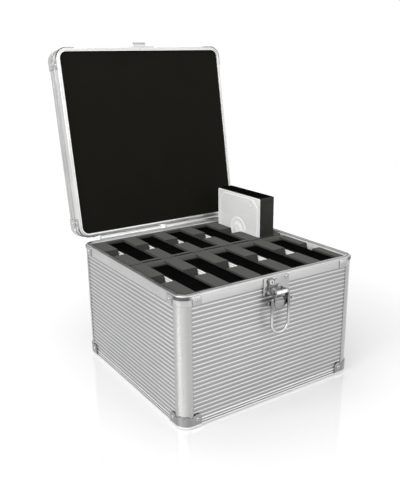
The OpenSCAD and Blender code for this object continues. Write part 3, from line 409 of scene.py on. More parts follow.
def ribbed_panel(length, height, base_t, bare, corner=0.0):
    """A ribbed sheet, length along x and height along y, its smooth face at z 0. Each rib
    stands RIB_H out and fades over half a millimetre at bare from both ends; corner rounds
    the sheet's corners by pulling the profile's ends in along a quarter circle. The grain's
    middle value is painted light and shade: 1 on a rib for a painted highlight, and painted
    shade below it, falling from a half to 0 just above the next rib."""
    count = int((height - RIB_FOOT) // RIB_PITCH) + 1
    first = (height - (count - 1) * RIB_PITCH) / 2
    dense = np.linspace(-RIB_PITCH / 2, RIB_PITCH / 2, 13)[:-1]
    y = (first + RIB_PITCH * np.arange(count)[:, None] + dense).reshape(-1)
    y = np.concatenate([[0], y[(y > 0.01) & (y < height - 0.01)], [height]])
    ends = np.array([0, bare, bare + 0.2, bare + 0.5])
    if corner:
        ends = np.concatenate([corner * (1 - np.cos(np.radians([0, 15, 30, 45, 60, 75]))),
                               ends[1:] if bare > corner else corner + np.array([0.1, 0.3, 0.6])])
    x = np.concatenate([ends, [length / 2], length - ends[::-1]])
    from_end = np.minimum(x, length - x)
    fade = smooth_step((from_end - max(bare, corner)) / 0.5)[:, None]
    high = ribs(y, first, count)
    below = (y - first) / RIB_PITCH
    # painted light and shade: 1 on a rib for its painted highlight, and painted shade under each
    # rib, falling from a half to 0 just above the next rib
    shade = np.maximum(high, 0.5 - 0.5 * np.ceil(below) + 0.5 * below)
    pulled = corner - np.sqrt(np.maximum(corner**2 - np.maximum(corner - from_end, 0) ** 2, 0))
    pulled = pulled[:, None]
    y = np.clip(y, pulled, height - pulled)
    face = packed(x[:, None], y, base_t + RIB_H * high * fade)
    under = face[:, ::-1][:, [0, -1]] * [1, 1, 0]
    points = np.concatenate([face, under], axis=1) - [length / 2, height / 2, 0]
    grain = points[..., [0, 2, 1]].copy()
    # the grain's middle value carries this painted light and shade to the sheet's material
    grain[..., 1] = np.concatenate([10 * shade * fade, np.zeros((len(x), 2))], axis=1)
    return surface(points, wrap_v=True, grain=grain, caps=ENDS)


# ---- foam ----


def foam_slab(w, d, r, low, high, xs=(), ys=(), height=None):
    """A foam block as one grid over its plan, with steps in it.

    xs and ys are further grid lines, each a place and the kind of strip that it belongs to; a
    step is two lines at one place. height(x, y, x_kind, y_kind) is the top there, and where
    it is low the block is open to its underside. Points in the plan's corner squares are
    drawn in to the quarter circle by max(a, b) / hypot(a, b), with a and b the distances
    from the arc's middle.
    """
    ease = r * (1 - np.tan(np.radians([45, 33.75, 22.5, 11.25, 0])))
    edge_x = [(v, 0) for v in np.concatenate([-w / 2 + ease, w / 2 - ease])]
    edge_y = [(v, 0) for v in np.concatenate([-d / 2 + ease, d / 2 - ease])]
    lines_x = sorted([*edge_x, *xs], key=lambda line: line[0])
    lines_y = sorted([*edge_y, *ys], key=lambda line: line[0])
    x, x_kind = np.array(lines_x, float).T
    y, y_kind = np.array(lines_y, float).T
    top = np.full((len(x), len(y)), float(high))
    if height is not None:
        top = height(x[:, None], y[None, :], x_kind[:, None], y_kind[None, :])
    over_x = np.maximum(np.abs(x) - (w / 2 - r), 0)[:, None]
    over_y = np.maximum(np.abs(y) - (d / 2 - r), 0)[None, :]
    draw = np.maximum(over_x, over_y) / np.maximum(np.hypot(over_x, over_y), 1e-9)
    draw = np.where((over_x > 0) & (over_y > 0), draw, 1.0)
    px = np.sign(x)[:, None] * (np.minimum(np.abs(x), w / 2 - r)[:, None] + over_x * draw)
    py = np.sign(y)[None, :] * (np.minimum(np.abs(y), d / 2 - r)[None, :] + over_y * draw)
    upper, lower = packed(px, py, top), packed(px, py, low)
    corners = (top[:-1, :-1], top[1:, :-1], top[:-1, 1:], top[1:, 1:])
    solid = np.maximum.reduce(corners) > low
    made = [surface(upper, keep=solid, grain=upper), surface(lower, keep=solid, grain=lower)]
    for side in (np.s_[0], np.s_[-1], np.s_[:, 0], np.s_[:, -1]):
        wall = np.stack([lower[side], upper[side]])
        made.append(surface(wall, grain=wall))
    return made


def slotted_block(row):
    """Half of the slotted foam: six dividers and an end wall round five open slots, with a
    finger notch across the dividers and, in front, low bridges between slits at the seam."""
    xs = []
    for slot in SLOT_X:
        left, right = slot - SLOT_W / 2, slot + SLOT_W / 2
        xs += [(left, 0), (left, 1), (left + SLIT_W, 1), (left + SLIT_W, 2),
               (right - SLIT_W, 2), (right - SLIT_W, 1), (right, 1), (right, 0)]
    top = FOAM_TOP + (FOAM_STEP if row > 0 else 0)
    notch = row * SLOT_Y + NOTCH_SHIFT
    low, high = sorted([row * SEAM_Y, row * (SEAM_Y + SLOT_LEN)])
    depth = abs(row * FOAM_D / 2 - SEAM_Y)
    middle = (row * FOAM_D / 2 + SEAM_Y) / 2

    def height(x, y, x_kind, y_kind):
        """The top less the notch, whose sides slope from its mouth to its floor, and at the
        kinds of strip: nothing in a slot, slits beside a bridge, and the bridge between."""
        slope = (NOTCH_W - NOTCH_FLOOR) / 2
        fall = np.clip((NOTCH_W / 2 - np.abs(y + middle - notch)) / slope, 0, 1)
        z = top - NOTCH_D * fall + 0 * x
        z = np.where((x_kind > 0) & (y_kind == 1), FOAM_Z, z)
        z = np.where((x_kind == 1) & (y_kind == 2), FOAM_TOP - SLIT_D, z)
        return np.where((x_kind == 2) & (y_kind == 2), FOAM_TOP - BRIDGE_DROP, z)

    half = NOTCH_W / 2
    ys = [(notch + v - middle, 1) for v in (-half, -NOTCH_FLOOR / 2, NOTCH_FLOOR / 2, half)]
    ends = [(low, 1), (high, 1)]
    ends = [(low, 0), *ends, (high, 2)] if row < 0 else [*ends, (high, 0)]
    ys += [(end - middle, kind) for end, kind in ends]
    slab = foam_slab(FOAM_W, depth, FOAM_R, FOAM_Z, top, xs, ys, height)
    return [placed(s, (0, middle, 0)) for s in slab]


# ---- making pieces ----


def linked(name, data):
    """A new object in the scene."""
    made = bpy.data.objects.new(name, data)
    bpy.context.scene.collection.objects.link(made)
    return made


def piece(name, body, shapes, finishes, stands_for, slot, place=None, bevel=0.0):
    """Joins the shapes into one mesh in metres, merges what meets, turns every face outwards
    and puts the piece on its body."""
    shapes = shapes if isinstance(shapes, list) else [shapes]
    points = np.concatenate([s["points"] for s in shapes])
    grains = np.concatenate([s["grain"] for s in shapes])
    start = np.cumsum([0] + [len(s["points"]) for s in shapes])
    if place is not None:
        points = place(points)
    faces, finish, smooth = [], [], []
    for s, first in zip(shapes, start):
        own = (s["quads"] + first).tolist() + [(c + first).tolist() for c in s["caps"]]
        faces += own
        finish += [s["finish"]] * len(own)
        smooth += [True] * len(s["quads"]) + [False] * len(s["caps"])
    mesh = bpy.data.meshes.new(name)
    mesh.from_pydata((points * MM).tolist(), [], faces)
    grain = mesh.attributes.new("grain", "FLOAT_VECTOR", "POINT")
    grain.data.foreach_set("vector", grains.astype(np.float32).ravel() * MM)
    mesh.polygons.foreach_set("material_index", finish)
    mesh.polygons.foreach_set("use_smooth", smooth)
    for m in finishes:
        mesh.materials.append(m)
    work = bmesh.new()
    work.from_mesh(mesh)
    bmesh.ops.remove_doubles(work, verts=work.verts, dist=MERGE)
    bmesh.ops.dissolve_degenerate(work, edges=work.edges, dist=MERGE)
    bmesh.ops.recalc_face_normals(work, faces=work.faces)
    work.to_mesh(mesh)
    work.free()
    made = linked(name, mesh)
    if bevel:
        rounding = made.modifiers.new("rounding", "BEVEL")
        rounding.width, rounding.segments = bevel * MM, 2
        rounding.limit_method, rounding.angle_limit = "ANGLE", np.radians(BEVEL_OVER)
        rounding.harden_normals = True
    else:
        mesh.set_sharp_from_angle(angle=np.radians(SHARP_OVER))
    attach(made, body)
    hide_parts(*stands_for)
    return made


def lid_piece(name, shapes, finishes, stands_for, slot, **more):
    """A piece of the lid, which is drawn closed and shown open."""
    return piece(name, "lid", shapes, finishes, stands_for, slot, place=open_lid, **more)


def corner_pieces(name, body, shape, finish, stands_for, slot, place=None):
    """A piece of its own at each corner of the case."""
    for k, corner in enumerate(CORNERS):
        piece(f"{name}_{corner}", body, at_corners(shape, [k]), [finish],
              [f"{stands_for}_{corner}"], slot, place)


# ---- finishes ----


def finish_of(name, settings=()):
    """A new material, with these values at the inputs of its shader, and its tree."""
    made = bpy.data.materials.new(name)
    made.use_nodes = True
    for key, value in dict(settings).items():
        made.node_tree.nodes["Principled BSDF"].inputs[key].default_value = value
    return made, made.node_tree


def add(tree, kind, inputs=(), **values):
    """A node with these values and with these sockets joined or set."""
    made = tree.nodes.new(kind)
    for key, value in values.items():
        setattr(made, key, value)
    for key, value in dict(inputs).items():
        if isinstance(value, bpy.types.NodeSocket):
            tree.links.new(value, made.inputs[key])
        else:
            made.inputs[key].default_value = value
    return made


def place_in(tree):
    """Where a point lies on its own object."""
    return add(tree, "ShaderNodeTexCoord").outputs["Object"]


def grain_in(tree):
    """The grain that a point carries."""
    return add(tree, "ShaderNodeAttribute", attribute_name="grain").outputs["Vector"]


def along_axis(tree, vector, axis):
    """One of the three values of a vector."""
    return add(tree, "ShaderNodeSeparateXYZ", {0: vector}).outputs[axis]


def reckon(tree, operation, *values, **more):
    """The outcome of a math node on sockets and numbers."""
    inputs = dict(enumerate(values))
    return add(tree, "ShaderNodeMath", inputs, operation=operation, **more).outputs[0]


def away_from(tree, value, middle):
    """How far a value lies from a middle, to either side."""
    return reckon(tree, "ABSOLUTE", reckon(tree, "SUBTRACT", value, middle))


def speckle(tree, place, scale, stretch=(1, 1, 1), detail=3.0, rough=0.55):
    """Noise read at a place, with the place stretched first."""
    spread = add(tree, "ShaderNodeMapping", {"Vector": place, "Scale": stretch}).outputs[0]
    inputs = {"Vector": spread, "Scale": scale, "Detail": detail, "Roughness": rough}
    return add(tree, "ShaderNodeTexNoise", inputs).outputs["Fac"]


def between(tree, value, low, high, out_low, out_high):
    """The value carried from one range to another, and held at its ends."""
    inputs = {"Value": value, "From Min": low, "From Max": high, "To Min": out_low,
              "To Max": out_high}
    return add(tree, "ShaderNodeMapRange", inputs).outputs[0]


def flecked(tree, value, noise, low, high):
    """The value with noise from low to high added to it."""
    return reckon(tree, "ADD", value, between(tree, noise, 0.3, 0.7, low, high))


def to_shader(tree, key, socket):
    """Joins a socket to an input of the tree's shader."""
    tree.links.new(socket, tree.nodes["Principled BSDF"].inputs[key])


def paint(tree, share, dark, light):
    """Gives the shader a colour between two, by share."""
    inputs = {0: share, 6: (*dark, 1), 7: (*light, 1)}
    to_shader(tree, "Base Color", add(tree, "ShaderNodeMix", inputs, data_type="RGBA").outputs[2])


def roughen(tree, noise, low, high):
    """Gives the shader a roughness between two, by noise."""
    to_shader(tree, "Roughness", between(tree, noise, 0.3, 0.7, low, high))


def relief(tree, height, distance, strength=1.0):
    """Gives the shader bump from a height."""
    inputs = {"Height": height, "Distance": distance, "Strength": strength}
    to_shader(tree, "Normal", add(tree, "ShaderNodeBump", inputs).outputs[0])


def grey(shade, blue=None):
    """A grey, or one with another share of blue."""
    return (shade, shade, shade if blue is None else blue)


def scaled(colour, by):
    """A colour made darker or lighter."""
    return tuple(min(1.0, by * c) for c in colour)


def brushed_metal(name, dark, light, rough, streak=1500.0, metal=1.0):
    """Drawn or brushed metal: fine streaks along the stroke, and slow patches of handling
    that change its colour and roughness a little."""
    made, tree = finish_of(name, {"Metallic": metal, "Anisotropic": 0.35})
    grain = grain_in(tree)
    streaks = speckle(tree, grain, 1.0, (18, 18, streak), 4.0, 0.6)
    patches = speckle(tree, grain, 1.0, (24, 24, 30))
    both = reckon(tree, "ADD", streaks, patches)
    paint(tree, between(tree, both, 0.75, 1.25, 0, 1), dark, light)
    roughen(tree, patches, rough * 0.85, rough * 1.2)
    relief(tree, streaks, 2e-6)
    return made


def metal_with_painted_light(name, outer, inner, rough, axis, middle, near, far):
    """Drawn metal with painted light and shade along one axis of its grain: the inner colour up
    to near from the middle, and the outer one from far on."""
    made = brushed_metal(name, outer, inner, rough)
    tree = made.node_tree
    grain = grain_in(tree)
    off = away_from(tree, along_axis(tree, grain, axis), middle)
    fine = speckle(tree, grain, 1.0, (18, 18, 1500), 4.0, 0.6)
    paint(tree, flecked(tree, between(tree, off, near, far, 1, 0), fine, -0.06, 0.06), outer, inner)
    return made


def metal_with_painted_groove_shade(name, groove_shade, land, rough, middle, side, half):
    """Drawn metal with painted shade in two grooves at side above and below the height middle,
    each half wide to either hand, and the land colour between them."""
    made = brushed_metal(name, groove_shade, land, rough)
    tree = made.node_tree
    off = along_axis(tree, place_in(tree), "Z")
    for step in (middle, side):
        off = away_from(tree, off, step)
    paint(tree, between(tree, off, half * 0.8, half * 1.2, 0, 1), groove_shade, land)
    return made


def ribbed_metal(name, valley_shade, ridge_highlight, rough):
    """Rolled sheet with ribs: hairlines along the ribs, and painted light and shade by the value
    that each point carries in its grain: a painted highlight on the ridges and painted shade in
    the valleys."""
    made, tree = finish_of(name, {"Metallic": 0.75, "Anisotropic": 0.3})
    grain = grain_in(tree)
    streaks = speckle(tree, grain, 1.0, (12, 0, 1800), 4.0, 0.6)
    patches = speckle(tree, grain, 1.0, (16, 0, 16))
    lift = between(tree, along_axis(tree, grain, "Y"), 0.0, 0.01, 0.0, 0.8)
    paint(tree, flecked(tree, lift, streaks, 0.0, 0.2), valley_shade, ridge_highlight)
    roughen(tree, patches, rough * 0.85, rough * 1.2)
    relief(tree, streaks, 2e-6)
    return made


def chrome(name, colour, rough):
    """Plated steel: bright, with a faint haze and fine wiping marks in its roughness."""
    made, tree = finish_of(name, {"Metallic": 1.0})
    place = place_in(tree)
    wipe = speckle(tree, place, 1.0, (900, 150, 400), 4.0, 0.65)
    patch = speckle(tree, place, 90.0)
    paint(tree, between(tree, patch, 0.35, 0.65, 0, 1), scaled(colour, 0.86), colour)
    roughen(tree, wipe, rough, rough + 0.08)
    relief(tree, wipe, 1.5e-6)
    return made


def chrome_with_painted_foot_reflection(name, foot, above, rough):
    """Polished metal with a painted reflection on its rounded foot: paler under a height of three
    millimetres.
    """
    made = chrome(name, above, rough)
    tree = made.node_tree
    place = place_in(tree)
    high = between(tree, along_axis(tree, place, "Z"), 0.0028, 0.0042, 0, 1)
    fine = speckle(tree, place, 1.0, (1500, 1500, 30), rough=0.6)
    paint(tree, flecked(tree, high, fine, -0.08, 0.08), foot, above)
    return made


def cut_foam(name, colour, sheen=0.15, specular=0.25):
    """Cut plastic foam: small open cells from Voronoi cells, fine dust and slow shading
    between lots of the same foam."""
    made, tree = finish_of(name, {"Roughness": 0.92, "Specular IOR Level": specular,
                                  "Sheen Weight": sheen, "Sheen Roughness": 0.5})
    place = place_in(tree)
    cells = add(tree, "ShaderNodeTexVoronoi", {"Vector": place, "Scale": 1400.0}, feature="F1")
    dust = speckle(tree, place, 900.0, detail=4.0, rough=0.7)
    slow = speckle(tree, place, 22.0, detail=2.0)
    mixed = between(tree, cells.outputs["Distance"], 0.1, 0.8, 0.25, 0.75)
    mixed = flecked(tree, flecked(tree, mixed, dust, -0.3, 0.3), slow, -0.12, 0.12)
    paint(tree, mixed, scaled(colour, 0.72), scaled(colour, 1.28))
    relief(tree, mixed, 1.2e-4, 0.6)
    return made


def moulded(name, colour, rough, pebble=2600.0, specular=0.5):
    """Moulded or painted surface with a fine pebble, and small changes of gloss and shade."""
    made, tree = finish_of(name, {"Specular IOR Level": specular})
    place = place_in(tree)
    pebbles = speckle(tree, place, pebble, detail=2.0)
    slow = between(tree, speckle(tree, place, 60.0), 0.3, 0.7, 0, 1)
    paint(tree, slow, scaled(colour, 0.82), scaled(colour, 1.16))
    roughen(tree, pebbles, rough * 0.85, min(1.0, rough * 1.15))
    relief(tree, pebbles, 1.5e-5, 0.5)
    return made


FRAME_METAL = brushed_metal("drawn_aluminium", grey(0.42), grey(0.52, 0.515), 0.30)
# painted light and shade on the bottom edge: dark in its two grooves and pale on the lands between
EDGE_METAL = metal_with_painted_groove_shade("edge_aluminium", grey(0.24), grey(0.78, 0.775), 0.28, 0.00595, 0.0016,
                          0.00095)
# painted light: the lid's rim band is painted paler than the body's drawn aluminium, for the
# brighter light on it
LID_METAL = brushed_metal("lid_aluminium", grey(0.60, 0.595), grey(0.70, 0.69), 0.34)
LID_SIDE_METAL = brushed_metal("lid_side_aluminium", grey(0.46), grey(0.56, 0.555), 0.32)
# painted highlight: the posts are paler about the middle of their outer arc, 11.5 mm round the
# plan, and darker towards both ends of the arc
POST_METAL = metal_with_painted_light("post_aluminium", grey(0.37), grey(0.50, 0.495), 0.26, "Z", 0.0115,
                          0.001, 0.0115)
# painted light and shade on the ribbed sheets: 0.155 for the painted shade in the valleys and 0.64
# for the painted highlight on the ridges
PANEL_METAL = ribbed_metal("ribbed_sheet", grey(0.155, 0.158), grey(0.64), 0.36)
# painted shade: dark on the brackets' strip within 8 mm of the middle of the corner's arc, and
# lighter on the ears
BRACKET_STEEL = metal_with_painted_light("bracket_steel", grey(0.40), grey(0.11), 0.26, "X", 0.011, 0.008,
                             0.0125)
# painted reflection: the bottom caps are pale on their rolled foot, under 2.8 mm, for the floor
# mirrored there, and dark chrome above 4.2 mm
CAP_CHROME = chrome_with_painted_foot_reflection("corner_chrome", grey(0.78), grey(0.26), 0.12)
LID_CAP_CHROME = chrome("lid_corner_chrome", grey(0.50), 0.12)
LATCH_STEEL = brushed_metal("latch_steel", grey(0.37), grey(0.46, 0.455), 0.24, streak=900.0)
LATCH_CHROME = chrome("latch_chrome", grey(0.50), 0.08)
SHIELD_CHROME = chrome("shield_chrome", grey(0.27), 0.08)
PIN_CHROME = chrome("pin_chrome", grey(0.84), 0.08)
# painted light: the bail is paler round its bottom bend, within 26 mm of its middle along the wire,
# and dark up its legs from 40 mm on
BAIL_CHROME = metal_with_painted_light("bail_chrome", grey(0.22), grey(0.50), 0.12, "X", 0.0522, 0.026, 0.040)
LOCK_METAL = chrome("lock_metal", grey(0.20), 0.16)
RIVET_METAL = chrome("rivet_aluminium", grey(0.50, 0.495), 0.24)
# painted shade: the stem's end is painted dark for the shade in the rivet's hole
RIVET_HOLE_SHADE = chrome("rivet_stem_painted_shade", grey(0.10), 0.45)
# painted light: the hinge leaves are painted pale so that the shaded band under the lid's rim reads
# bright
HINGE_STEEL = brushed_metal("hinge_steel", grey(0.58), grey(0.70, 0.695), 0.28, streak=900.0)
HANDLE_STEEL = chrome("handle_chrome", grey(0.60), 0.10)
GRIP_PLASTIC = moulded("grip_plastic", grey(0.018), 0.48)
LINING_BOARD = moulded("laminated_board", grey(0.72, 0.70), 0.35, pebble=900.0)
BOTTOM_SHEET = brushed_metal("bottom_sheet", grey(0.50), grey(0.62, 0.615), 0.38, 700.0, 0.8)
SLOT_FOAM = cut_foam("slotted_foam", (0.040, 0.041, 0.036), specular=0.15)
PAD_FOAM = cut_foam("pad_foam", grey(0.030, 0.028))
# painted shade: the lid's upright foam is painted far darker than the slotted foam, for the little
# light that falls on it
LID_FOAM_PAINTED_SHADE = cut_foam("lid_foam", (0.0075, 0.0070, 0.0050), sheen=0.0, specular=0.1)
DRIVE_CASTING = moulded("drive_casting", grey(0.034, 0.030), 0.5, 1800.0, 0.08)
DRIVE_END = moulded("drive_end", grey(0.003), 0.8, 1800.0, 0.0)
DRIVE_COVER = brushed_metal("drive_cover", grey(0.80, 0.795), grey(0.86, 0.85), 0.42, 1200.0, 0.0)
# painted highlight: the beads round a drive's cover are painted near white for the bright lines
# along its edges
COVER_EDGE_HIGHLIGHT = brushed_metal("cover_edge_painted_highlight", grey(0.97), grey(1.0, 0.995), 0.30, metal=0.0)
DRIVE_HUB = brushed_metal("drive_hub", grey(0.98, 0.975), grey(1.0, 0.995), 0.30, metal=0.0)
BOARD_GREEN = moulded("circuit_board", (0.012, 0.045, 0.030), 0.35, pebble=1200.0)
CHIP_BLACK = moulded("chip_plastic", grey(0.015, 0.016), 0.45)
CONTACT_METAL = chrome("contacts", (0.75, 0.62, 0.32), 0.25)


# ---- the body ----


def walls():
    """The frame profiles, ribbed panels and posts of the body."""
    rim = rounded([(8, 149.5), (14, 149.5), (14, 162), (12, 162), (12, 160.6), (10.2, 160.6),
                   (10.2, 162), (8, 162)], [0.2, 0.25, 1.5, 0.3, 0.2, 0.2, 0.3, 0.6], 4)
    # painted reflection: a thin strip of pale board on the rim's inner face, so that the face reads
    # bright
    strip = rounded([(7.76, 149.6), (7.99, 149.6), (7.99, 160.8), (7.76, 160.8)], 0.08, 2)
    painted_reflection_strip = {**round_case(strip), "finish": 1}
    piece("body_rim_band", "case_body", [round_case(rim), painted_reflection_strip], [FRAME_METAL, LINING_BOARD],
          ["body_rim"], "frame_profile")
    edge = rounded([(11, 0), (14, 0), (14, 3.4), (13.4, 3.4), (13.4, 5.3), (14, 5.3), (14, 6.6),
                    (13.4, 6.6), (13.4, 8.5), (14, 8.5), (14, 10.3), (8, 10.3), (8, 3), (11, 3)],
                   [0.05, 2.9, 0.25, 0.2, 0.2, 0.25, 0.25, 0.2, 0.2, 0.25, 0.25, 0.2, 0.2, 0.2], 4)
    piece("bottom_edge_profile", "case_body", round_case(edge), [EDGE_METAL], ["bottom_edge"],
          "frame_profile")
    x, y = BODY_W / 2 - LIP - PANEL_T, BODY_D / 2 - LIP - PANEL_T
    for name, width, at, turn in (("front", BODY_W, (0, -y), OUT_OF_FRONT),
                                  ("back", BODY_W, (0, y), OUT_OF_BACK),
                                  ("left", BODY_D, (-x, 0), OUT_OF_LEFT),
                                  ("right", BODY_D, (x, 0), OUT_OF_RIGHT)):
        sheet = ribbed_panel(width - 2 * CORNER_R, RIM_Z - EDGE_H, PANEL_T, POST_REACH - CORNER_R)
        piece(f"{name}_ribbed_sheet", "case_body", placed(sheet, (*at, (RIM_Z + EDGE_H) / 2), turn),
              [PANEL_METAL], [f"{name}_panel"], "ribbed_panel")
    plan = rounded([(14, -1), (14, 14), (-1, 14), (-1, 13), (0, 13), (0, 8), (8, 8), (8, 0),
                    (13, 0), (13, -1)], [0.45, 14, 0.45, 0.1, 0.1, 0.1, 8, 0.1, 0.1, 0.1], 14)
    upright = lifted(plan, [EDGE_H, RIM_Z])
    z = upright[..., 2]
    # the grain's z is the length round the plan, along which POST_METAL paints its highlight
    grain = packed(z, 0, run_along(plan))
    post = surface(upright, wrap_v=True, grain=grain, caps=ENDS)
    corner_pieces("corner_post", "case_body", post, POST_METAL, "post", "frame_profile")


def rivets(spots):
    """A blind rivet at each spot: a domed ring, turned, and the end of its stem in the hole,
    painted dark as painted shade in the hole.
    """
    head = turned([(0, 0), (2.3, 0), (2.3, 0.22), (2.12, 0.62), (1.8, 0.93), (1.4, 1.09),
                   (1.0, 1.07), (0.82, 0.95), (0.8, 0.4), (0, 0.4)], 24)
    stem = turned([(0, 0.38), (0.74, 0.38), (0.74, 0.5), (0.5, 0.62), (0, 0.56)], 12, finish=1)
    return copies(head, spots) + copies(stem, spots)


def fittings():
    """Corner brackets, bottom caps and every rivet on the body."""
    piece("rim_brackets", "case_body", at_corners(bracket(BODY_EAR_Z, BODY_EAR_H, True)),
          [BRACKET_STEEL], ["body_brackets"], "corner_fittings")
    corner_pieces("bottom_cap", "case_body", bottom_cap(), CAP_CHROME, "cap", "corner_fittings")
    spots = corner_spots(EAR_MID, 1.0, BODY_EAR_Z) + corner_spots(CAP_RIVET, CAP_T, CAP_END_H)
    spots += [((LATCH_X + x, FRONT - LATCH_T, BODY_H - down), (0, -1, 0))
              for x, down in ((-2.2, 4.2), (4.5, 15.2), (15, 5))]
    made = rivets(spots + leaf_spots(HINGE_Z - LEAF_RIVET))
    small = turned([(0, 0), (1.5, 0), (1.45, 0.35), (1.15, 0.8), (0.8, 1.08), (0.35, 1.1),
                    (0, 1.0)], 20)
    made += copies(small, [((SMALL_RIVET_X, FRONT + LIP - RIB_H, SMALL_RIVET_Z), (0, -1, 0))])
    piece("body_blind_rivets", "case_body", made, [RIVET_METAL, RIVET_HOLE_SHADE], ["body_rivets"],
          "rivets")


def foam():
    """The slotted blocks, the pad under the drives and the lid's foam."""
    for row, name in ((-1, "front"), (1, "back")):
        made = piece(f"foam_comb_{name}", "case_body", slotted_block(row), [SLOT_FOAM],
                     [f"foam_{name}"], "slotted_foam", bevel=0.25)
    made = piece("foam_under_drives", "case_body", foam_slab(FOAM_W, FOAM_D, FOAM_R, 3.0, FOAM_Z),
                 [PAD_FOAM], ["foam_pad"], "slotted_foam", bevel=0.4)
    inset = 2 * (LID_WALL + 0.3)
    panel = foam_slab(BODY_W - inset, BODY_D - inset, 9.1, LID_Z + 2, LID_TOP_Z)
    made = lid_piece("lid_foam_panel", panel, [LID_FOAM_PAINTED_SHADE], ["lid_foam"], "lid_foam", bevel=1.2)


# ---- the lid ----


def lid():
    """The lid's rim band, stepped frame, ribbed top, brackets, caps and rivets."""
    rim = rounded([(9.4, 0), (10.6, 0), (10.6, -1.3), (11.6, -1.3), (11.6, 0), (14, 0), (14, 11),
                   (9.4, 11)], [0.4, 0.15, 0.3, 0.3, 0.15, 1.5, 0.2, 0.2], 4)
    side = rounded([(9.4, 11), (14, 11), (14, 12), (13.3, 12), (13.3, 15), (14, 15), (14, 23),
                    (13.3, 23), (13.3, 25), (14, 25), (14, 32), (11.4, 32), (11.4, 29), (9.4, 29)],
                   [0.2, 0.2, 0.25, 0.2, 0.2, 0.25, 0.25, 0.2, 0.2, 0.25, 2, 0.2, 0.2, 0.2], 4)
    lid_piece("lid_rim_band", round_case(rim + [0, LID_Z]), [LID_METAL], ["lid_rim"],
              "frame_profile")
    lid_piece("lid_side_frame", round_case(side + [0, LID_Z]), [LID_SIDE_METAL], ["lid_frame"],
              "frame_profile")
    corner = CORNER_R - LID_TOP_IN
    top = ribbed_panel(BODY_W - 2 * LID_TOP_IN, BODY_D - 2 * LID_TOP_IN, PANEL_T, corner, corner)
    lid_piece("lid_ribbed_top", placed(top, (0, 0, LID_TOP_Z)), [PANEL_METAL], ["lid_panel"],
              "ribbed_panel")
    lid_piece("lid_rim_brackets", at_corners(bracket(LID_EAR_Z, LID_EAR_H, False)),
              [BRACKET_STEEL], ["lid_brackets"], "corner_fittings")
    corner_pieces("lid_corner_cap", "lid", lid_cap(), LID_CAP_CHROME, "lid_cap",
                  "corner_fittings", open_lid)
    spots = corner_spots(EAR_MID, 1.0, LID_EAR_Z)
    spots += corner_spots(CAP_RIVET, CAP_T, LID_Z + LID_H - CAP_END_H)
    spots += [((LATCH_X + x, FRONT - LATCH_T, LID_Z + 19), (0, -1, 0)) for x in (-14, 14)]
    spots += leaf_spots(HINGE_Z + LEAF_RIVET)
    spots += [((x, HANDLE_Y + y, LID_Z + LID_H + 2), (0, 0, 1))
              for x in (-SADDLE_X, SADDLE_X) for y in (-12, 12)]
    lid_piece("lid_blind_rivets", rivets(spots), [RIVET_METAL, RIVET_HOLE_SHADE], ["lid_rivets"],
              "rivets")


def keeper():
    """The latch's keeper: a riveted plate, and a hook bent out of 1.5 mm strip. The strip's
    middle line runs out, round a bend of radius 2 and up, and its width is drawn in at the
    lip's corners along a quarter circle of radius 5."""
    base = placed(plate(box_outline(38, 22, 2), 0, LATCH_T, 0.4), (LATCH_X, FRONT, LID_Z + 13.7),
                  OUT_OF_FRONT)
    t = np.radians(np.linspace(0, 90, 9))
    lip = 17.0 - 5 * (1 - np.sin(t))
    line = np.concatenate([[(0.5, 10.75), (4.0, 10.75)],
                           packed(6.35 + 2 * np.sin(t), 12.75 - 2 * np.cos(t)),
                           packed(8.35, lip + 1.5)])
    along = unit(np.gradient(line, axis=0))
    side = packed(-along[:, 1], along[:, 0])
    half = np.full(len(line), 9.0)
    half[-9:] = 4 + 5 * np.cos(t)
    ring = np.array([(-0.75, -1), (0.75, -1), (0.75, 1), (-0.75, 1)])
    out = line[:, None] + side[:, None] * ring[:, 0, None]
    x = half[:, None] * ring[:, 1]
    points = packed(x + LATCH_X, FRONT - out[..., 0], LID_Z + out[..., 1])
    grain = packed(0, x, np.arange(len(line))[:, None] * 0.8)
    hook = surface(points, wrap_v=True, grain=grain, caps=ENDS)
    lid_piece("keeper_plate_and_hook", [base, hook], [LATCH_STEEL], ["latch_keeper"], "latch",
              bevel=0.25)


